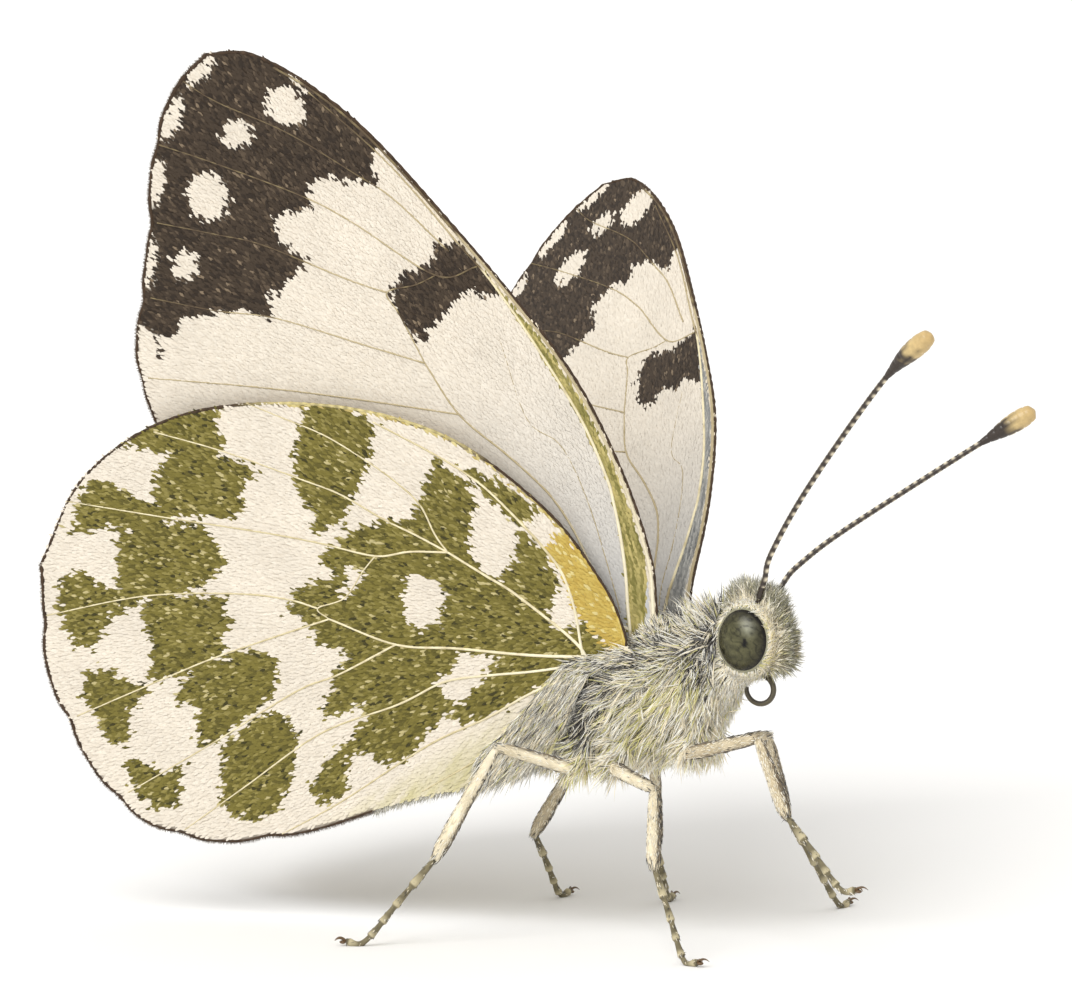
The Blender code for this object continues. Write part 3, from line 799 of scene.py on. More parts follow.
def leg_bristles(part, start, end, count, is_foot, draw):
    """Roots, lie, length and shade of the hairs on one length of a leg, and where they stand
    round it and along it."""
    roots, normals = scatter(*part, count, draw, lambda places, ways: 1.0)
    way = unit(end - start)
    along = portion(((roots - start) @ way) / np.linalg.norm(end - start))
    edge = portion((np.abs(normals @ unit(np.cross(way, (0.0, 1.0, 0.0)))) - 0.8) / 0.14)
    cuff = portion((along - 0.9) / 0.06) * (not is_foot)
    lengths = spread(LEG_LENGTH, count, draw) * (1 + 0.5 * cuff - 0.3 * is_foot)
    lift = spread((0.06, 0.22), count, draw)
    ways, _ = comb(roots, normals, way, lift, lengths, *LEG_LOCKS, draw)
    dark = 0.04 + 1.4 * edge + 1.0 * cuff + 0.8 * is_foot
    shades = (CREAM_HAIR, WHITE_HAIR, GREY_HAIR, BLACK_HAIR)
    tip = pick(shades, (0.8 * (1 - edge) + 0.1, 0.3, 0.08, dark), draw)
    turn = np.arctan2(normals[:, 1], normals[:, 2]) / (2 * np.pi) + 0.5
    return roots, ways, lengths, tip, turn, along


leg_scales = grained_material("leg_scales", 0.75, 7000.0, 0.3, 0.4, sheen=0.1, specular=0.25)
leg_hairs = []
for index, ((side, place), (knee, ankle, toe)) in enumerate(LEG_POINTS.items()):
    hip, knee, ankle = (np.array(p) for p in (HIPS[side, place], knee, ankle))
    toe = np.array((*toe, FLOOR + LIFTED_TOE.get((side, place), FOOT_RADIUS)))
    far_knee = knee + unit(knee - hip) * 0.04
    in_hip = hip - unit(knee - hip) * 0.3
    thigh = tube(evenly(np.array([in_hip, far_knee]), 28), THIGH_RADII, LEG_SIDES)
    middle = (knee + ankle) / 2 + (0.0, 0.0, 0.05)
    bow = curve_through([knee, middle, ankle + unit(ankle - knee) * 0.08], 8)
    shin = tube(evenly(bow, 28), SHIN_RADII, LEG_SIDES)
    foot_points, foot_faces, along_joint, foot_line = foot_shape(ankle, toe)
    points, faces = join([thigh, shin, (foot_points, foot_faces)])
    # The two near legs keep the cream of lit scales; the far legs and the lifted foreleg get a darker tan
    # copy of the same scales: painted shade.
    lit_leg = side == "right" and place != "front"
    scales = linear(231, 220, 193) if lit_leg else linear(198, 184, 156)
    tint = scales * (1 + 0.1 * ripple(points, 0.5, 13 + index))[:, None]
    tint = mixed(tint, linear(168, 152, 118), 0.2 + 0.35 * ripple(points, 0.9, 31 + index))
    first = len(thigh[0])
    second = first + len(shin[0])
    for length, start, end in ((slice(0, first), hip, knee), (slice(first, second), knee, ankle)):
        aside = unit(np.cross(end - start, (0.0, 1.0, 0.0)))
        keel = portion((np.abs((points[length] - start) @ aside) / 0.2 - 0.62) / 0.4)
        tint[length] = mixed(tint[length], linear(84, 68, 48), 0.8 * keel)
    knee_gap = np.linalg.norm(points - knee, axis=1)
    tint = mixed(tint, linear(58, 46, 34), 0.9 * np.exp(-(knee_gap / 0.13) ** 2))
    dark_foot = linear(112, 104, 80) * (1 + 0.25 * ripple(foot_points, 0.25, 17 + index))[:, None]
    pale_ring = 0.85 * portion((along_joint - 0.5) / 0.3) * (along_joint < 0.9)
    tint[second:] = mixed(dark_foot, linear(190, 179, 146), pale_ring)
    leg = add_piece(f"leg_{side}_{place}", (points, faces, tint), leg_scales)
    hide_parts(f"femur_{side}_{place}", f"tibia_{side}_{place}", f"tarsus_{side}_{place}")
    claws = claw_shapes(foot_line[-1], unit(foot_line[-1] - foot_line[-8]))
    add_piece(f"claws_{side}_{place}", (*claws, CLAW_BROWN), horn)
    draw = np.random.default_rng(60 + index)
    foot = (foot_points, foot_faces)
    stretches = ((thigh, hip, knee, 0.42), (shin, knee, ankle, 0.48), (foot, ankle, toe, 0.1))
    for part, start, end, share in stretches:
        *hairs, turn, along = leg_bristles(part, start, end, int(LEG_HAIRS * share), part is foot, draw)
        across = (index + 0.04 + 0.92 * turn) / len(LEG_POINTS)
        leg_hairs.append((*hairs, np.c_[across, on_map(along)]))

roots, ways, lengths, tip, places = (np.concatenate(parts) for parts in zip(*leg_hairs))
thick = spread(LEG_THICK, len(roots), np.random.default_rng(71))
# Each hair is darker at its root: painted shade deep in the coat.
shape = hair_mesh(roots, ways, lengths, thick, 0.0, tip * 0.85, tip, places, SHORT_STEPS)
add_piece("leg_hair", shape, hair_finish)

# ---- Wing sheets --------------------------------------------------------------------
# Each wing is a thin clear sheet stretched between the veins and hinged on the chest. The
# pair on each side overlap: the hindwing lies under the forewing, towards the outside.
# The sheet carries the same markings as the scales over it.
WING_PITCH, ROOT_ANGLE = 33.0, 8.0
WING_BOW, BOW_CENTRE, BOW_CHORD = 0.3, -8.0, 10.0
WING_OPENING = {"right": 15.1, "left": 47.8}  # degrees from upright
WING_ROOT = {"right": 0.95, "left": 1.2}  # aside of the body's middle
SWEEP = {
    ("forewing", "right"): 0.0, ("forewing", "left"): 3.3,
    ("hindwing", "right"): 0.0, ("hindwing", "left"): -1.0,
}
FRONT_SHARE = {"right": 1.0, "left": 0.8}  # the left wing's front strip curls in
LAYER = {"forewing": 0.0, "hindwing": 0.6}
WINGS = [(wing, side) for wing in LAYER for side in SIDES]
OUTWARD = {"upper": -1, "under": 1}  # which way each face looks: the under faces look outside
BEND_START, BEND_END = -0.5, 2.0
SHEET_HALF = 0.02
EDGE_DRAWN_IN = (0.05, 0.1)  # front edge and hind edge, by the reach of the fringe
NOTCH_DEPTH, NOTCH_WIDTH = 0.13, 0.5
COSTA = {
    "forewing": (
        (-0.1, -0.3), (0.45, 0.45), (1.3, 1.9), (2.25, 4.6), (2.9, 8.0), (2.85, 11.4), (2.5, 15.4),
        (2.1, 18.4), (1.5, 20.5), (0.8, 22.0), (0.1, 22.9), (-1.0, 23.5),
    ),
    "hindwing": (
        (-1.15, -0.35), (-0.75, 0.4), (-0.4, 2.2), (-0.5, 5.2), (-1.9, 9.0), (-5.0, 12.15),
        (-9.2, 14.3), (-13.2, 14.4), (-16.4, 12.8),
    ),
}
HIND_EDGE = {
    "forewing": (
        (-1.5, -0.1), (-2.3, 1.3), (-5.6, 5.4), (-9.4, 9.8), (-11.2, 12.3), (-10.5, 14.2), (-9.9, 16.1),
        (-9.05, 17.25), (-8.05, 18.3), (-6.9, 19.4), (-5.6, 20.9), (-4.65, 21.85), (-3.65, 22.65),
        (-2.3, 23.3), (-1.0, 23.5),
    ),
    "hindwing": (
        (-2.5, 0.0), (-4.7, -1.4), (-6.3, -1.9), (-11.0, -0.5), (-14.4, 0.4), (-17.2, 1.8),
        (-18.9, 3.7), (-19.3, 6.2), (-18.5, 9.8), (-16.4, 12.8),
    ),
}
WING_MIDDLE = {"forewing": (-3.5, 12.0), "hindwing": (-9.0, 6.5)}
NOTCHES = {  # where the veins meet the rim
    "forewing": ((-4.2, 22.0), (-6.3, 20.1), (-8.2, 18.1), (-9.7, 15.9)),
    "hindwing": ((-14.5, 14.0), (-17.9, 11.3), (-19.1, 8.0), (-19.1, 4.9), (-18.3, 2.7), (-15.8, 0.9)),
}

# The markings, as outlines or ovals in the wing's own plane: ahead of the hinge, then out
# along the span. An oval is its centre, its two half widths and its tilt in degrees.
TIP_PATCH = {
    "under": (
        (3.2, 18.1), (2.15, 17.9), (1.55, 17.55), (1.15, 16.8), (0.7, 17.2), (0.25, 17.65),
        (-0.1, 17.95), (-0.65, 18.0), (-1.1, 17.85), (-1.1, 17.35), (-1.75, 17.5), (-2.45, 17.8),
        (-2.85, 16.95), (-2.35, 15.95), (-3.35, 15.85), (-3.8, 15.6), (-4.3, 15.75), (-4.7, 15.0),
        (-5.05, 15.55), (-5.75, 16.05), (-6.75, 16.5), (-7.35, 16.75), (-7.9, 16.4), (-8.5, 16.6),
        (-8.6, 17.5), (-9.5, 19.0), (-5.0, 26.0), (3.0, 26.0),
    ),
    "upper": (
        (4.0, 17.9), (1.75, 17.5), (1.5, 16.7), (0.62, 17.9), (-0.2, 18.2), (-0.6, 17.4), (-1.0, 17.9),
        (-2.1, 17.5), (-1.9, 16.4), (-3.1, 15.9), (-4.3, 15.7), (-6.0, 16.4), (-7.6, 16.8),
        (-8.5, 16.8), (-9.5, 19.0), (-5.0, 26.0), (3.0, 26.0),
    ),
}
TIP_SPOTS = {
    "under": (
        (0.2, 20.55, 0.62, 0.7, 20), (1.12, 20.9, 0.12, 0.36, 10), (-1.78, 20.68, 0.52, 0.46, 0),
        (-3.93, 19.54, 0.82, 0.66, 40), (-6.1, 18.09, 0.5, 0.4, 30),
    ),
    "upper": (
        (0.3, 21.02, 0.82, 0.66, 30), (1.28, 21.34, 0.2, 0.3, 0), (-1.22, 21.37, 0.48, 0.42, 0),
        (-2.72, 20.22, 0.7, 0.6, 40),
    ),
}
HIND_SPOT = (-8.75, 16.2, 0.22, 0.12, 60)  # alone by the forewing's hind corner
RIM_MOONS = (
    (-1.45, 23.1, 0.72, 0.27, 12), (-3.35, 22.3, 0.85, 0.3, 31), (-5.2, 20.9, 0.88, 0.3, 42),
    (-7.1, 18.9, 0.9, 0.32, 48),
)
CELL_SPOT = {
    "under": (
        (2.75, 14.4), (2.9, 13.65), (2.9, 12.95), (2.4, 11.7), (2.05, 11.75), (1.7, 12.25),
        (1.4, 12.35), (0.6, 12.1), (0.0, 12.05), (-0.8, 11.7), (-1.0, 12.2), (-0.95, 12.9),
        (-0.7, 13.7), (0.1, 13.95), (0.9, 13.75), (1.35, 13.85), (1.65, 14.25), (2.1, 13.8),
        (2.5, 13.9),
    ),
    "upper": (
        (2.9, 13.0), (2.9, 11.5), (2.4, 10.2), (1.6, 10.9), (1.25, 10.5), (0.5, 11.0), (-0.2, 10.6),
        (-0.6, 11.1), (-0.5, 12.4), (-0.1, 13.2), (1.25, 12.7), (1.9, 12.8),
    ),
}
COSTAL_BAND = (
    (-0.8, -0.3), (-0.55, -0.05), (0.15, 0.6), (0.75, 1.45), (1.4, 2.6), (1.9, 3.7), (2.3, 5.2),
    (2.9, 8.0), (2.85, 11.4), (2.5, 13.2), (2.4, 10.0), (2.15, 7.0), (1.65, 4.8), (1.35, 4.05),
    (0.8, 2.95), (0.15, 1.85), (-0.45, 0.95), (-0.95, 0.2),
)
GREEN_BLOTCHES = (
    # rim row, from the front of the wing to the back
    ((-15.1, 13.1), (-14.3, 13.2), (-13.9, 13.8), (-12.9, 14.1), (-12.1, 12.7), (-11.4, 11.5),
     (-12.4, 11.7), (-13.7, 12.5)),
    ((-16.1, 11.9), (-15.3, 11.9), (-15.1, 11.1), (-14.2, 10.2), (-14.4, 9.8), (-15.5, 9.9),
     (-16.6, 9.4), (-17.1, 9.9), (-16.8, 11.2)),
    ((-17.9, 8.4), (-17.4, 8.9), (-16.8, 8.8), (-15.8, 7.3), (-16.4, 7.1), (-17.2, 6.8), (-17.6, 6.2),
     (-18.1, 6.6)),
    ((-18.3, 5.6), (-17.8, 5.8), (-17.3, 4.7), (-16.2, 4.6), (-16.8, 4.2), (-17.5, 3.6), (-18.1, 3.8),
     (-18.4, 4.5)),
    # middle row
    ((-11.8, 14.6), (-9.8, 14.5), (-7.4, 13.6), (-8.4, 13.4), (-8.3, 12.7), (-8.9, 12.4), (-7.9, 11.2),
     (-9.0, 11.1), (-9.2, 10.4), (-9.9, 10.5), (-11.3, 11.5), (-11.9, 12.3), (-11.3, 12.9),
     (-10.3, 13.4)),
    ((-13.4, 12.2), (-12.3, 11.7), (-10.8, 10.9), (-10.8, 9.4), (-11.8, 9.2), (-12.5, 9.2),
     (-14.3, 10.0), (-14.7, 10.6), (-14.1, 11.3)),
    ((-14.5, 9.6), (-13.8, 9.8), (-11.6, 8.4), (-12.0, 8.1), (-11.9, 7.6), (-12.8, 7.3), (-12.7, 6.9),
     (-14.0, 6.9), (-15.7, 7.5), (-14.8, 8.4)),
    ((-15.4, 6.6), (-14.3, 7.0), (-12.3, 6.7), (-11.5, 6.1), (-11.6, 5.5), (-12.5, 4.8), (-14.5, 4.6),
     (-15.7, 4.8), (-14.9, 5.9)),
    ((-15.0, 4.4), (-13.4, 4.6), (-12.5, 4.3), (-12.4, 3.5), (-13.1, 2.6), (-14.7, 1.6), (-15.8, 1.8),
     (-16.3, 2.9), (-15.6, 3.5)),
    # front strips
    ((-5.2, 12.3), (-4.4, 12.0), (-3.6, 10.4), (-4.3, 9.8), (-4.8, 9.4), (-5.7, 8.9), (-6.6, 8.4),
     (-7.9, 8.5), (-7.3, 9.1), (-7.4, 9.9), (-7.0, 10.7), (-6.2, 11.5)),
    ((-2.1, 8.0), (-1.2, 6.5), (-0.7, 5.2), (-1.4, 4.9), (-1.75, 5.4), (-2.0, 6.6)),
    ((-2.1, 1.45), (-1.75, 1.15), (-1.65, 0.4), (-1.55, -0.25), (-2.15, -0.1), (-2.5, 0.6),
     (-2.35, 1.1)),
    # the great blotch over the cell and the wing's foot
    ((-2.7, 8.4), (-2.2, 7.2), (-2.4, 6.4), (-3.3, 5.7), (-3.7, 4.9), (-3.4, 4.0), (-2.5, 4.2),
     (-1.8, 5.0), (-1.4, 4.0), (-1.6, 2.9), (-2.0, 2.4), (-2.7, 2.0), (-2.3, 1.3), (-2.6, 0.2),
     (-3.1, 0.1), (-4.6, 0.3), (-6.5, 0.4), (-7.5, 0.6), (-7.7, 1.2), (-8.8, 1.0), (-9.6, 0.7),
     (-10.6, 0.9), (-10.9, 1.7), (-11.7, 1.7), (-11.9, 1.2), (-12.5, 0.8), (-13.3, 1.0), (-13.3, 1.7),
     (-12.6, 2.0), (-11.3, 2.3), (-10.2, 2.5), (-9.9, 3.0), (-11.3, 3.2), (-11.3, 3.6), (-10.6, 3.9),
     (-10.2, 4.4), (-9.3, 4.6), (-10.0, 5.5), (-9.8, 6.1), (-10.2, 6.9), (-9.4, 7.4), (-7.9, 7.0),
     (-8.2, 7.8), (-6.7, 8.0), (-5.7, 7.7), (-4.7, 7.2), (-4.0, 7.5)),
)
CREAM_GAPS = (
    ((-5.6, 5.65), (-5.45, 5.35), (-5.2, 4.95), (-5.25, 4.5), (-5.65, 4.1), (-6.1, 3.8), (-6.35, 3.95),
     (-6.75, 4.05), (-6.95, 4.4), (-6.75, 4.9), (-6.55, 5.3), (-6.05, 5.55)),
    ((-6.1, 2.65), (-5.55, 2.4), (-5.05, 1.95), (-5.5, 1.7), (-5.9, 1.55), (-6.5, 1.4), (-7.1, 1.25),
     (-7.4, 1.6), (-7.35, 2.05), (-7.4, 2.3), (-6.85, 2.3), (-6.5, 2.4)),
    ((-7.2, 6.85), (-7.3, 6.45), (-7.65, 6.3), (-8.2, 6.25), (-8.3, 6.4), (-7.8, 6.65), (-7.6, 7.0)),
    ((-1.95, 2.65), (-1.9, 2.2), (-2.15, 1.6), (-2.4, 1.35), (-2.75, 1.7), (-2.85, 2.05), (-2.4, 2.25)),
)
GOLD_PATCH = (
    (-1.3, 4.05), (-1.35, 3.55), (-1.5, 2.75), (-1.7, 2.0), (-1.8, 1.4), (-1.65, 0.7), (-1.5, -0.05),
    (-1.55, -0.6), (-1.1, -0.5), (-0.6, 0.4), (-0.1, 1.0), (-0.1, 1.9), (-0.2, 2.9), (-0.6, 4.25),
)


def wing_point(flat, wing, side, lift=0.0):
    """Points of a wing's surface. The lift counts from its sheet to the outside."""
    ahead, span = flat.T
    turn = math.radians(SWEEP[wing, side])
    ahead = np.where(ahead > 0, ahead * FRONT_SHARE[side], ahead)
    along = ahead * math.cos(turn) - span * math.sin(turn)
    across = ahead * math.sin(turn) + span * math.cos(turn)
    root = math.radians(ROOT_ANGLE)
    rate = (math.radians(WING_OPENING[side]) - root) / (BEND_END - BEND_START)
    bent = np.clip(across, BEND_START, BEND_END) - BEND_START
    below = np.minimum(across, BEND_START)
    beyond = np.maximum(across - BEND_END, 0.0)
    angle = root + rate * bent
    up = below * math.cos(root) + (np.sin(angle) - math.sin(root)) / rate + beyond * np.cos(angle)
    out = below * math.sin(root) + (math.cos(root) - np.cos(angle)) / rate + beyond * np.sin(angle)
    bow = LAYER[wing] + lift + WING_BOW * ((along - BOW_CENTRE) / BOW_CHORD) ** 2
    up = up - bow * np.sin(angle)
    out = WING_ROOT[side] + out + bow * np.cos(angle)
    pitch = math.radians(WING_PITCH)
    return np.stack([
        math.cos(pitch) * along - math.sin(pitch) * up,
        SIDES[side] * out,
        math.sin(pitch) * along + math.cos(pitch) * up,
    ], axis=-1)


def within(flat, outline):
    """True for the places inside an outline."""
    ahead, span = flat.T
    inside = np.zeros(len(flat), bool)
    outline = np.asarray(outline, float)
    for (a0, s0), (a1, s1) in zip(outline, np.roll(outline, -1, axis=0)):
        crosses = (s0 > span) != (s1 > span)
        inside ^= crosses & (ahead < (a1 - a0) * (span - s0) / (s1 - s0 + 1e-12) + a0)
    return inside


def in_any(flat, outlines):
    return np.any([within(flat, outline) for outline in outlines], axis=0)


def in_ovals(flat, ovals):
    ahead, span = flat.T
    inside = np.zeros(len(flat), bool)
    for a, s, wide, high, tilt in ovals:
        c, d = math.cos(math.radians(tilt)), math.sin(math.radians(tilt))
        x, y = (ahead - a) * c + (span - s) * d, (span - s) * c - (ahead - a) * d
        inside |= (x / wide) ** 2 + (y / high) ** 2 < 1
    return inside


def edge_lines(wing, count):
    """The front and hind edges of the sheet, drawn in from the fringe's tips and notched at the veins."""
    found = []
    for outline, drawn_in in ((COSTA[wing], EDGE_DRAWN_IN[0]), (HIND_EDGE[wing], EDGE_DRAWN_IN[1])):
        line = evenly(curve_through(outline, 10), count)
        inset = np.full(count, drawn_in)
        if outline is HIND_EDGE[wing]:
            last = inset[-count // 25:]
            last[:] = np.linspace(drawn_in, EDGE_DRAWN_IN[0], count // 25 + 1)[:len(last)]
            for notch in NOTCHES[wing]:
                inset += NOTCH_DEPTH * np.exp(-(np.linalg.norm(line - notch, axis=1) / NOTCH_WIDTH) ** 2)
        found.append(line + unit(WING_MIDDLE[wing] - line) * inset[:, None])
    return found


wing_edge = {wing: edge_lines(wing, 180) for wing in LAYER}


def edge_gap(flat, line):
    """How far each place lies from an edge line, and how far along the line it is."""
    best = np.full(len(flat), 1e9)
    reach = np.zeros(len(flat))
    for i, (ahead, span) in enumerate(line):
        gap = np.hypot(flat[:, 0] - ahead, flat[:, 1] - span)
        closer = gap < best
        best[closer] = gap[closer]
        reach[closer] = i / (len(line) - 1)
    return best, reach


CREAM_SCALE, PEARL_SCALE, BLUE_SHADE = linear(223, 213, 197), linear(230, 221, 206), linear(186, 187, 188)
GOLD_SCALE, HONEY_SCALE, RIM_BROWN = linear(200, 176, 92), linear(182, 152, 70), linear(74, 58, 44)
DARK_SCALES = (linear(66, 55, 44), linear(50, 41, 33), linear(86, 73, 59), linear(126, 110, 90))
GREEN_SCALES = (  # olive, moss and leaf, then deep green and a pale fleck
    linear(117, 108, 50), linear(94, 87, 39), linear(138, 128, 70),
    linear(62, 58, 28), linear(186, 174, 124),
)
BAND_SCALES = {
    "under": (linear(124, 118, 62), linear(186, 172, 110)),
    "upper": (linear(128, 129, 128), linear(176, 175, 170)),
}
BLUE_REACH = {"forewing": 12.5, "hindwing": 8.0}  # how far out a bluish shade spreads from the body
INNER_END = {"forewing": 0.42, "hindwing": 0.36}  # where along the hind edge the inner margin ends


def markings(wing, face, flat, draw, ragged):
    """The colour of each scale or point of a sheet, by its place on the wing."""
    count = len(flat)
    ahead, span = flat.T
    bumps = np.c_[ripple(flat, 0.4, 81), ripple(flat, 0.45, 82)]
    spot = flat + ragged * (draw.normal(0, 0.08, (2, count)).T + 0.08 * bumps)
    lottery = draw.random(count)
    tint = mixed(CREAM_SCALE, PEARL_SCALE, lottery)
    front, rear = wing_edge[wing]
    rear_gap, rear_reach = edge_gap(flat, rear)
    front_gap, _ = edge_gap(flat, front)
    outer = rear_reach > INNER_END[wing]
    dark = pick(DARK_SCALES, (np.full(count, 0.56), 0.27, 0.14, 0.02), draw)
    clump = ripple(flat, 0.2, 86)
    weights = (np.full(count, 0.5), 0.24 + 0.35 * clump, 0.22 - 0.3 * clump, 0.05 + 0.14 * clump, 0.045)
    green = pick(GREEN_SCALES, weights, draw)
    blotch = in_any(spot, GREEN_BLOTCHES) & ~in_any(spot, CREAM_GAPS)
    if wing == "forewing":
        shade = portion(1 - np.hypot(ahead - 0.5, span) / BLUE_REACH[wing]) ** 1.7
        tint = mixed(tint, BLUE_SHADE, shade)
        patch = within(spot, TIP_PATCH[face]) & ~in_ovals(spot, TIP_SPOTS[face] + RIM_MOONS)
        patch |= within(spot, CELL_SPOT[face]) | in_ovals(spot, (HIND_SPOT,))
        tint[patch] = dark[patch]
        tint = mixed(tint, linear(226, 214, 190), 0.8 * (front_gap < 0.24) * (span < 16))
        band = (front_gap > 0.22) & within(flat, COSTAL_BAND)
        streak = 0.5 + 0.9 * ripple(np.c_[front_gap * 9, span * 0.5], 1.2, 84)
        tint[band] = mixed(*BAND_SCALES[face], streak)[band]
        line = (front_gap < 0.05 + 0.04 * (span > 14)) & (span > 0.6)
        tint[line] = RIM_BROWN
    elif face == "under":
        inner = portion(0.3 - span - 0.02 * ahead)
        streak = 0.8 + 0.4 * ripple(np.c_[span * 2 - ahead * 0.6, ahead * 0.3], 0.7, 87)
        tint = mixed(tint, linear(200, 192, 150), inner * streak)
        patch = blotch & ((rear_gap > 0.3) | ~outer)
        tint[patch] = green[patch]
        gold = within(spot, GOLD_PATCH)
        golden = mixed(GOLD_SCALE, HONEY_SCALE, lottery * 0.9)
        golden[lottery > 0.92] = linear(214, 198, 134)
        tint[gold] = golden[gold]
        trim = (front_gap < 0.14) & (span > 4.0) & (span < 12.5)
        tint[trim] = mixed(linear(212, 198, 140), linear(180, 158, 90), lottery)[trim]
        # A thin dark line along the hindwing's front edge: painted shadow where it meets the forewing.
        line = (front_gap < 0.04) & (span > 0.4) & (span < 13)
        tint[line] = linear(120, 100, 58)
    else:
        tint = mixed(tint, linear(180, 182, 164), 0.4 * blotch)
        rim_row = in_any(spot, GREEN_BLOTCHES[:3])
        tint[rim_row] = mixed(dark, linear(150, 146, 132), 0.35 + 0.4 * lottery)[rim_row]
        tint = mixed(tint, BLUE_SHADE * 0.85, 1 - np.hypot(ahead, span) / BLUE_REACH[wing])
    rim = (rear_gap < 0.07 + 0.02 * ripple(flat, 0.3, 85)) & outer
    tint[rim] = RIM_BROWN * (0.8 + 0.4 * lottery[rim])[:, None]
    # The upper faces are painted 7% darker than the under faces: painted shade.
    return tint * ((0.93 if face == "upper" else 1.0) + 0.03 * ripple(flat, 2.3, 83))[:, None]


SHEET_STEPS, SPAN_CELLS, CHORD_CELLS = 400, 120, 66


def wing_sheet(wing, side):
    """A thin closed sheet between the front edge and the hind edge."""
    front, rear = edge_lines(wing, SHEET_STEPS)
    stations = np.linspace(0, SHEET_STEPS - 2, SPAN_CELLS + 1).round().astype(int)
    share = np.linspace(0, 1, CHORD_CELLS + 1)[None, :, None]
    grid = front[stations][:, None] * (1 - share) + rear[stations][:, None] * share
    rows, columns = grid.shape[:2]
    flat = grid.reshape(-1, 2)
    points = [wing_point(flat, wing, side, step * SHEET_HALF) for step in OUTWARD.values()]
    tints = [markings(wing, face, flat, np.random.default_rng(5), 0.3) for face in OUTWARD]
    number = np.arange(rows * columns).reshape(rows, columns)
    corners = [number[:-1, :-1], number[:-1, 1:], number[1:, 1:], number[1:, :-1]]
    quads = np.stack(corners, axis=-1).reshape(-1, 4)
    rim = np.r_[number[:, 0], number[-1, 1:], number[::-1, -1][1:], number[0, ::-1][1:-1]]
    after = np.roll(rim, -1)
    offset = rows * columns
    band = np.stack([rim, after, after + offset, rim + offset], axis=-1)
    faces = np.vstack([quads, (quads + offset)[:, ::-1], band[:, ::-1]])
    if side == "left":
        faces = faces[:, ::-1]
    return np.vstack(points), faces, np.vstack(tints)


sheet_finish = grained_material("wing_sheet", 0.75, 5200.0, 0.15, 0.3, specular=0.2)
for wing, side in WINGS:
    sheet = add_piece(f"{wing}_sheet_{side}", wing_sheet(wing, side), sheet_finish)
    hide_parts(f"{wing}_{side}")

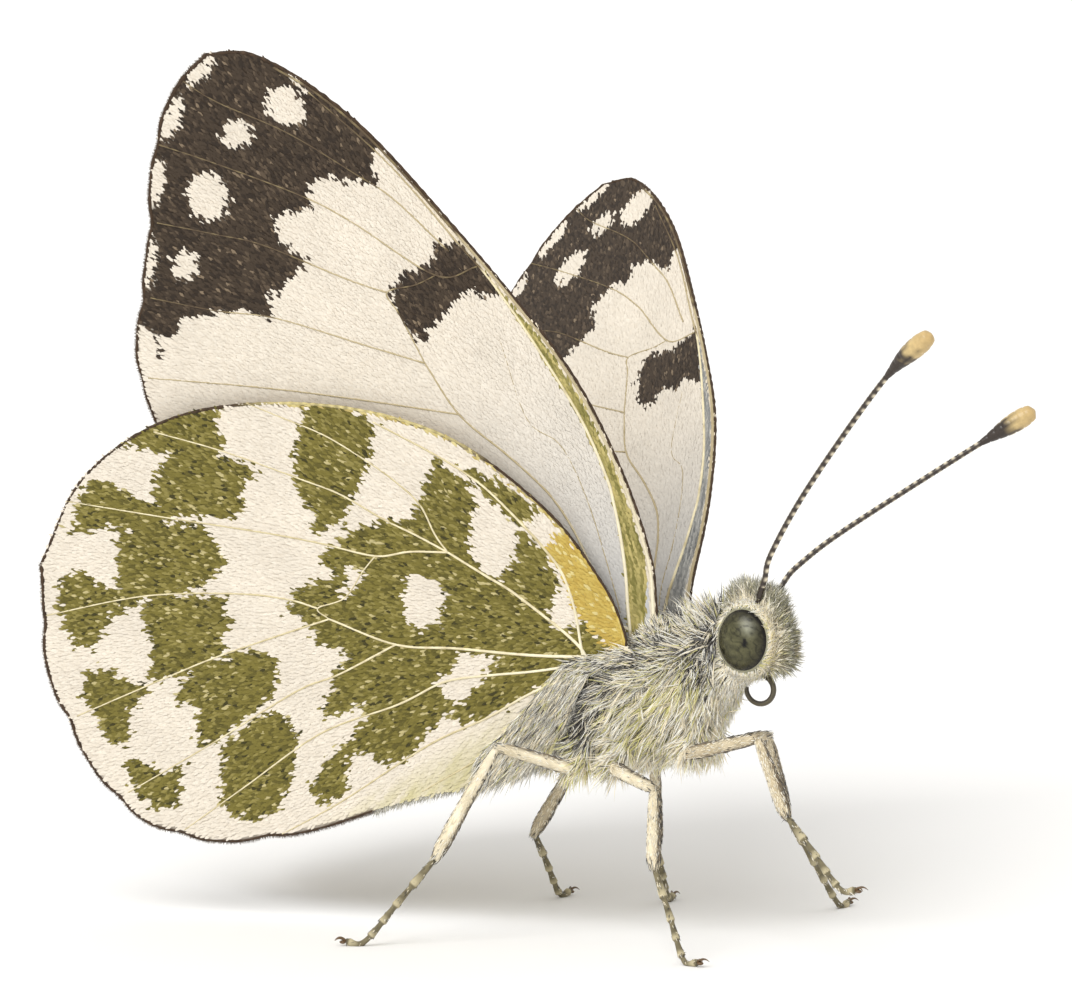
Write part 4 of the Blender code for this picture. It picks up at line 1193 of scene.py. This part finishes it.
# ---- Wing veins ---------------------------------------------------------------------
# Hollow tubes stiffen each sheet: thick at the hinge, fine at the rim, and branching
# round a closed cell. They stand as thin ridges on both faces, cream over the green, tan
# over the cream and pale brown over the black, and a dark cord runs round the rim and the
# front edges, dark near the hindwing's foot as painted shadow where it meets the forewing.
VEINS = {
    "forewing": (
        (((-0.25, -0.25), (0.32, 0.52), (1.17, 1.95), (2.12, 4.65), (2.76, 8.0), (2.74, 11.4),
          (2.38, 15.4), (1.98, 18.4), (1.38, 20.5), (0.7, 21.9)), 0.09, 0.06),
        (((-1.0, 0.05), (-0.45, 0.95), (0.15, 1.85), (0.8, 2.95), (1.35, 4.05), (1.7, 4.9), (2.2, 7.0),
          (2.45, 10.0), (2.5, 12.3), (2.35, 13.8), (2.0, 17.3), (1.2, 20.6)), 0.09, 0.035),
        (((1.9, 13.8), (1.4, 16.2), (0.8, 17.6), (-0.3, 19.9), (-1.7, 22.0),
          (-2.3, 23.3)), 0.045, 0.03),
        (((2.4, 12.9), (1.0, 13.4), (-0.3, 16.3), (-1.2, 17.9), (-3.0, 20.3),
          (-4.3, 21.9)), 0.045, 0.03),
        (((1.0, 13.4), (0.2, 13.5), (-0.8, 13.8), (-0.9, 13.0), (-1.2, 11.2)), 0.035, 0.04),
        (((-0.8, 13.8), (-1.7, 14.9), (-3.4, 17.3), (-4.5, 18.4), (-6.2, 20.0)), 0.045, 0.03),
        (((-1.2, 11.2), (-2.6, 12.8), (-4.6, 15.1), (-6.2, 16.4), (-8.0, 18.1)), 0.045, 0.03),
        (((-1.3, 9.2), (-3.8, 11.3), (-6.4, 13.4), (-9.6, 15.8)), 0.045, 0.03),
        (((-1.05, 0.3), (-0.85, 1.7), (-0.65, 2.85), (-0.42, 4.0), (-0.35, 5.2), (-0.5, 6.2),
          (-0.8, 7.4), (-1.3, 9.2), (-1.2, 11.2)), 0.07, 0.045),
        (((-0.9, 0.3), (-2.6, 3.0), (-5.4, 6.6), (-8.4, 10.4), (-10.7, 13.6)), 0.07, 0.03),
        (((-0.8, 0.9), (-0.05, 2.75), (0.5, 4.2), (0.9, 5.6), (1.0, 6.7), (0.6, 7.9),
          (1.5, 10.5)), 0.03, 0.015),
    ),
    "hindwing": (
        (((-2.75, -0.1), (-2.4, 0.7), (-1.8, 1.9), (-1.4, 3.1), (-1.4, 4.1), (-1.5, 5.0), (-1.8, 6.7),
          (-2.2, 7.8), (-2.8, 9.0), (-3.7, 10.6)), 0.08, 0.045),
        (((-2.75, -0.1), (-2.45, 0.75), (-3.2, 3.3), (-3.7, 4.4), (-4.3, 5.7)), 0.085, 0.06),
        (((-4.3, 5.7), (-4.3, 6.4), (-4.1, 7.5), (-4.3, 8.5), (-4.7, 9.6), (-5.4, 11.1), (-6.3, 12.4),
          (-7.0, 13.4)), 0.05, 0.03),
        (((-4.3, 5.7), (-4.9, 6.8), (-5.5, 7.8), (-6.2, 9.2), (-7.0, 10.3), (-8.7, 12.5),
          (-10.3, 14.3)), 0.055, 0.03),
        (((-4.3, 5.7), (-5.4, 6.4), (-6.5, 6.9), (-7.8, 8.2), (-9.2, 9.5), (-11.5, 11.5),
          (-14.3, 14.0)), 0.055, 0.03),
        (((-6.5, 6.9), (-7.2, 6.7), (-8.3, 6.3), (-9.3, 6.5), (-9.2, 6.0)), 0.035, 0.035),
        (((-9.3, 6.5), (-10.0, 7.3), (-11.4, 8.4), (-14.1, 10.0), (-17.7, 11.4)), 0.05, 0.03),
        (((-9.2, 6.0), (-10.8, 6.4), (-13.3, 7.0), (-14.9, 7.3), (-19.0, 8.0)), 0.05, 0.03),
        (((-2.6, 0.4), (-4.1, 1.4), (-6.1, 2.9), (-7.8, 4.1), (-9.2, 6.0)), 0.085, 0.05),
        (((-7.8, 4.1), (-10.1, 4.3), (-11.7, 4.6), (-15.3, 4.7), (-19.1, 4.9)), 0.055, 0.03),
        (((-2.8, 0.2), (-4.4, 0.9), (-5.8, 1.6), (-7.2, 2.2), (-9.0, 2.4), (-11.9, 3.0), (-15.3, 2.9),
          (-18.2, 2.8)), 0.07, 0.03),
        (((-3.0, 0.0), (-4.9, 0.3), (-6.7, 0.4), (-9.0, 0.7), (-12.8, 0.7), (-15.4, 0.9)), 0.07, 0.03),
        (((-3.2, -0.2), (-5.4, -0.4), (-7.6, -0.6), (-10.1, -0.5)), 0.06, 0.03),
    ),
}
OVER_CREAM = {"forewing": linear(178, 164, 132), "hindwing": linear(206, 194, 156)}
VEIN_SIZE, RIDGE_LIFT, VEIN_SIDES = 0.66, 0.035, 8
RIM_START = {"forewing": 170, "hindwing": 145}  # the step of the hind edge where its cord starts
FRONT_CORD, RIM_CORD = (0.04, 0.055), (0.04, 0.07)  # radii at each cord's start and end


def vein_tubes(wing, side):
    shapes, tints = [], []
    front, rear = edge_lines(wing, SHEET_STEPS)
    outline = np.vstack([front + 0.3 * unit(front - WING_MIDDLE[wing]), rear[::-1]])
    for face, step in OUTWARD.items():
        for route, foot, end in VEINS[wing]:
            flat = curve_through(route, 10)
            flat = evenly(flat[within(flat, outline)], 80)
            line = wing_point(flat, wing, side, step * RIDGE_LIFT)
            radii = VEIN_SIZE * np.linspace(foot, end, len(line)) * (1 + 0.06 * ripple(flat, 0.5, 91))
            shapes.append(tube(line, radii, VEIN_SIDES))
            ground = markings(wing, face, flat, np.random.default_rng(6), 0.0).mean(axis=1)
            vein = np.where((ground > 0.4)[:, None], OVER_CREAM[wing], linear(232, 221, 186))
            over_dark = (ground < 0.12) & (wing == "forewing")
            vein = np.where(over_dark[:, None], linear(88, 74, 58), vein)
            vein = mixed(vein, linear(166, 150, 108), 0.15 + 0.35 * ripple(flat, 0.35, 92))
            pale_foot = (1 - np.linspace(0, 2.4, len(line))) * (face == "under" and foot > 0.06)
            vein = mixed(vein, linear(240, 231, 204), pale_foot)
            tints.append(np.vstack([np.repeat(vein, VEIN_SIDES, axis=0), vein[:1], vein[-1:]]))
    rim = rear[RIM_START[wing]:]
    for line, radii in ((front, FRONT_CORD), (rim, RIM_CORD)):
        edge = wing_point(line, wing, side)
        radii = np.linspace(*radii, len(edge)) * (1 + 0.25 * ripple(line, 0.25, 93))
        shape = tube(edge, radii, VEIN_SIDES)
        shapes.append(shape)
        cord = RIM_BROWN
        # On the hindwing's front edge the cord is pale tan along its middle and dark towards both ends;
        # near the foot that dark is painted shadow where the edge meets the forewing.
        if wing == "hindwing" and line is front:
            reach = np.linspace(0, 1, len(shape[0]))
            cord = mixed(cord, linear(204, 190, 136), np.minimum(reach - 0.3, 0.64 - reach) / 0.06)
        tints.append(cord * (0.8 + 0.25 * ripple(shape[0], 0.3, 94))[:, None])
    points, faces = join(shapes)
    return points, faces, np.vstack(tints)


vein_finish = grained_material("veins", 0.7, 6000.0, 0.25, 0.4, specular=0.2)
for wing, side in WINGS:
    add_piece(f"{wing}_veins_{side}", vein_tubes(wing, side), vein_finish)

# ---- Wing scales --------------------------------------------------------------------
# Both faces of every wing are tiled with overlapping scales like grains of dust, each a
# flat toothed leaf that is rooted in the sheet and points to the rim. They give the wing
# its colour: cream, umber, gold, and a mix of green, dark and pale ones in the blotches.
SCALE_LENGTH, SCALE_WIDTH = 0.24, 0.105
ROW_STEP, SIDE_STEP = 0.128, 0.091
SCALE_SHAPE = (  # across, along, and how much of the lift
    (-0.2, 0.0, 0.0), (0.2, 0.0, 0.0), (-0.5, 0.55, 0.7), (0.5, 0.55, 0.7), (-0.18, 1.0, 1.0),
    (0.18, 1.0, 1.0),
)
SCALE_FACES = ((0, 1, 3), (0, 3, 2), (2, 3, 5), (2, 5, 4))
SCALE_LIFT = (0.01, 0.032)
SCALE_HINGE = (-0.3, -0.3)  # where the rows of scales are centred


def scale_coat(wing, side, face, seed):
    draw = np.random.default_rng(seed)
    rows = []
    for k, reach in enumerate(np.arange(0.8, 25.0, ROW_STEP)):
        turns = np.arange(-0.6 + 0.5 * (k % 2) * SIDE_STEP / reach, 3.5, SIDE_STEP / reach)
        rows.append(np.c_[reach * np.cos(turns), reach * np.sin(turns)])
    flat = np.vstack(rows) + SCALE_HINGE
    flat += draw.normal(0, 0.018, flat.shape)
    front, rear = wing_edge[wing]
    flat = flat[within(flat, np.vstack([front, rear[::-1]]))]
    rear_gap, rear_reach = edge_gap(flat, rear)
    front_gap, _ = edge_gap(flat, front)
    flat = flat[(front_gap > 0.08) & ((rear_gap > 0.13) | (rear_reach < 0.35))]
    count = len(flat)
    way = unit(flat - SCALE_HINGE)
    turn = draw.normal(0, 0.2, count)
    aside = np.c_[-way[:, 1], way[:, 0]]
    way = way * np.cos(turn)[:, None] + aside * np.sin(turn)[:, None]
    aside = np.c_[-way[:, 1], way[:, 0]]
    tint = markings(wing, face, flat, draw, 1.0) * draw.uniform(0.95, 1.03, count)[:, None]
    length = SCALE_LENGTH * draw.uniform(0.85, 1.15, count)
    width = SCALE_WIDTH * draw.uniform(0.85, 1.15, count)
    lift = draw.uniform(*SCALE_LIFT, count)
    corners, patches, tints = [], [], []
    low, high = flat.min(axis=0), flat.max(axis=0)
    places = on_map((flat - low) / (high - low))
    for across, along, rise in SCALE_SHAPE:
        spot = flat + aside * (across * width)[:, None] + way * ((along - 0.2) * length)[:, None]
        corners.append(wing_point(spot, wing, side, OUTWARD[face] * (SHEET_HALF + 0.004 + rise * lift)))
        patches.append(places + (across * PATCH, (along - 0.5) * PATCH))
        # Each scale is painted darker towards its root: painted shade under the tip of the scale before
        # it.
        tints.append(tint * (0.93 + 0.07 * along))
    points = np.stack(corners, axis=1)
    pattern = np.array(SCALE_FACES)
    if (face == "under") == (side == "left"):
        pattern = pattern[:, ::-1]
    faces = repeated(pattern, count, len(SCALE_SHAPE))
    tints, patches = np.stack(tints, axis=1), np.stack(patches, axis=1)
    return points.reshape(-1, 3), faces, tints.reshape(-1, 3), patches.reshape(-1, 2)


scale_finish = grained_material("wing_scales", 0.75, 16000.0, 0.15, 0.2, sheen=0.1, specular=0.2)
scaled_faces = [(*pair, face) for pair in WINGS for face in ("under", "upper")]
for number, (wing, side, face) in enumerate(scaled_faces):
    scales = scale_coat(wing, side, face, 100 + number)
    add_piece(f"{wing}_scales_{face}_{side}", scales, scale_finish, smooth=False)

# ---- Wing fringe --------------------------------------------------------------------
# A fringe of fine hair scales edges the outer rims, brown with some paler hairs mixed in
# at random, and long silky grey hairs edge the inner margins.
FRINGE_LENGTH, SILK_LENGTH, FRINGE_THICK = (0.08, 0.17), (0.18, 0.36), (0.011, 0.018)
FRINGE_START = {"forewing": 0.4, "hindwing": 0.05}  # the share of the hind edge that stays bare


def fringe(wing, side, seed):
    draw = np.random.default_rng(seed)
    _, fine = edge_lines(wing, 2500)
    reach = np.linspace(0, 1, len(fine))
    keep = reach > FRINGE_START[wing]
    fine, reach = fine[keep], reach[keep]
    along = unit(np.gradient(fine, axis=0))
    out = np.c_[-along[:, 1], along[:, 0]]
    out *= np.sign(((fine - WING_MIDDLE[wing]) * out).sum(axis=1))[:, None]
    count = len(fine)
    inner = reach < INNER_END[wing]
    lengths = np.where(inner, spread(SILK_LENGTH, count, draw), spread(FRINGE_LENGTH, count, draw))
    flat_way = unit(out + along * (draw.normal(0, 0.3, count) + 0.8 * inner)[:, None])
    root = wing_point(fine, wing, side, draw.uniform(-0.04, 0.04, count))
    ways = unit(wing_point(fine + flat_way * 0.1, wing, side) - root)
    brown = mixed(RIM_BROWN, linear(132, 114, 92), draw.random(count) * 0.7)
    silk = mixed(linear(226, 222, 204), linear(132, 126, 114), draw.random(count))
    tip = np.where(inner[:, None], silk, brown)
    places = np.c_[on_map(reach), np.full(count, 0.5)]
    thick = spread(FRINGE_THICK, count, draw)
    # Each hair is darker at its root: painted shade deep in the coat.
    return hair_mesh(root, ways, lengths, thick, 0.0, tip * 0.85, tip, places, SHORT_STEPS)


for number, (wing, side) in enumerate(WINGS):
    add_piece(f"{wing}_fringe_{side}", fringe(wing, side, 140 + number), hair_finish)

# ---- Hair at the wings' feet ---------------------------------------------------------
# Long hair hides the hinges on both faces of every wing and runs out along the veins, and
# soft grey silk lies over the hindwing's inner margin where it wraps the belly.
FOOT_HAIRS, FOOT_LENGTH, FOOT_THICK = 900, (0.25, 0.6), (0.018, 0.032)
SILK_HAIRS, LONG_SILK = 2600, (0.4, 0.8)
FOOT_RANGE = {"forewing": (-1.7, 0.2), "hindwing": (-3.1, -1.0)}
FOOT_LINE = ((-3.1, 0.35), (-2.2, -0.1), (-1.3, -0.35), (0.3, -0.3))
SILK_PATCH = (
    (-3.2, 0.6), (-5.3, 0.0), (-6.7, -0.3), (-7.6, -0.5), (-8.3, -1.4), (-6.3, -1.8), (-4.7, -1.3),
    (-2.5, -0.1),
)


def foot_hair(side, seed):
    draw = np.random.default_rng(seed)
    found = []
    for wing, foot_range in FOOT_RANGE.items():
        for face, step in OUTWARD.items():
            ahead = spread(foot_range, FOOT_HAIRS, draw)
            across = np.interp(ahead, *np.transpose(FOOT_LINE)) + draw.normal(-0.05, 0.12, FOOT_HAIRS)
            foot = np.c_[ahead, across]
            if wing == "hindwing" and face == "under":
                spots = np.c_[draw.uniform(-8.4, -2.4, 9000), draw.uniform(-1.9, 0.7, 9000)]
                foot = np.vstack([foot, spots[within(spots, SILK_PATCH)][:SILK_HAIRS]])
            count = len(foot)
            at_foot = np.arange(count) < FOOT_HAIRS
            root = wing_point(foot, wing, side, step * SHEET_HALF)
            out = unit(foot - (-0.6, -1.2)) + draw.normal(0, 0.25, foot.shape)
            out[FOOT_HAIRS:] = unit((-0.92, -0.3) + draw.normal(0, 0.14, (count - FOOT_HAIRS, 2)))
            rise = draw.uniform(0.03, 0.13, count) * np.where(at_foot, 1.0, 0.35)
            ways = unit(wing_point(foot + out * 0.2, wing, side, step * (SHEET_HALF + rise)) - root)
            lengths = np.where(at_foot, spread(FOOT_LENGTH, count, draw), spread(LONG_SILK, count, draw))
            # More dark hair at the right wings' feet than at the left: painted shade along the hinge.
            dark = np.where(at_foot, 0.35 if side == "right" else 0.1, 0.12)
            grey = np.where(at_foot, 0.1, 0.3)
            tip = pick(HAIR_SHADES, (np.full(count, 0.5), 0.4, 0.12, grey, dark), draw)
            places = np.c_[(foot[:, 0] + 9.0) / 10.0, (foot[:, 1] + 2.5) / 6.0] * 0.48
            places += (0.01 + 0.5 * (wing == "hindwing"), 0.01 + 0.5 * (face == "under"))
            found.append((root, ways, lengths, tip, places))
    roots, ways, lengths, tip, places = (np.concatenate(parts) for parts in zip(*found))
    count = len(roots)
    curl = draw.normal(0, 0.12, (count, 3)) + (0.0, 0.0, -0.1)
    thick = spread(FOOT_THICK, count, draw)
    # Each hair is darker at its root: painted shade deep in the coat.
    return hair_mesh(roots, ways, lengths, thick, curl, tip * 0.9, tip, places, SHORT_STEPS)


for number, side in enumerate(SIDES):
    add_piece(f"wing_foot_hair_{side}", foot_hair(side, 170 + number), hair_finish)

# ---- Floor, light and camera --------------------------------------------------------
# A plain pale floor, soft light from all round with one broad lamp from the upper left,
# and a long lens a little above the animal, off its right front quarter.
VIEW_TURN, VIEW_RISE, VIEW_DISTANCE = 25.0, 7.0, 400.0
FRAME_SCALE, FRAME_WIDTH = 30.8, 1072  # parts of the frame to a millimetre, and in its width
AIM = (-4.11, -1.4, 3.82)
FLOOR_SIDE = 8.0


def add_floor():
    mesh = bpy.data.meshes.new("floor")
    half = FLOOR_SIDE / 2
    corners = [(-half, -half, 0), (half, -half, 0), (half, half, 0), (-half, half, 0)]
    mesh.from_pydata(corners, [], [(0, 1, 2, 3)])
    material = bpy.data.materials.new("pale_floor")
    material.use_nodes = True
    tree = material.node_tree
    mottle = add_node(tree, "ShaderNodeTexNoise", {"Scale": 40.0})
    ramp = add_node(tree, "ShaderNodeValToRGB", {"Fac": mottle.outputs["Fac"]})
    ramp.color_ramp.elements[0].color = (0.89, 0.885, 0.875, 1)
    ramp.color_ramp.elements[1].color = (0.92, 0.915, 0.905, 1)
    wire(tree, tree.nodes["Principled BSDF"], {"Base Color": ramp.outputs["Color"], "Roughness": 0.9})
    mesh.materials.append(material)
    floor = bpy.data.objects.new("floor", mesh)
    bpy.context.collection.objects.link(floor)


add_floor()
world = bpy.data.worlds.new("studio")
bpy.context.scene.world = world
world.use_nodes = True
sky = world.node_tree.nodes["Background"]
sky.inputs["Color"].default_value = (1.0, 0.99, 0.97, 1.0)
sky.inputs["Strength"].default_value = 0.85
lamp = bpy.data.lights.new("broad_lamp", "SUN")
lamp.energy = 2.0
lamp.angle = math.radians(40)
lamp_object = bpy.data.objects.new("broad_lamp", lamp)
lamp_object.rotation_euler = (math.radians(48), 0.0, math.radians(-5))
bpy.context.collection.objects.link(lamp_object)
bpy.context.scene.view_settings.view_transform = "Standard"

camera = bpy.data.cameras.new("camera")
camera.sensor_width = 36.0
camera.lens = camera.sensor_width * FRAME_SCALE * VIEW_DISTANCE / FRAME_WIDTH
camera.clip_start = 0.001
camera_object = bpy.data.objects.new("camera", camera)
bpy.context.collection.objects.link(camera_object)
bpy.context.scene.camera = camera_object
turn, rise = math.radians(VIEW_TURN), math.radians(VIEW_RISE)
back = np.array((math.sin(turn) * math.cos(rise), -math.cos(turn) * math.cos(rise), math.sin(rise)))
camera_object.location = (HINGE + AIM + back * VIEW_DISTANCE) * MM
camera_object.rotation_euler = (math.radians(90 - VIEW_RISE), 0.0, turn)
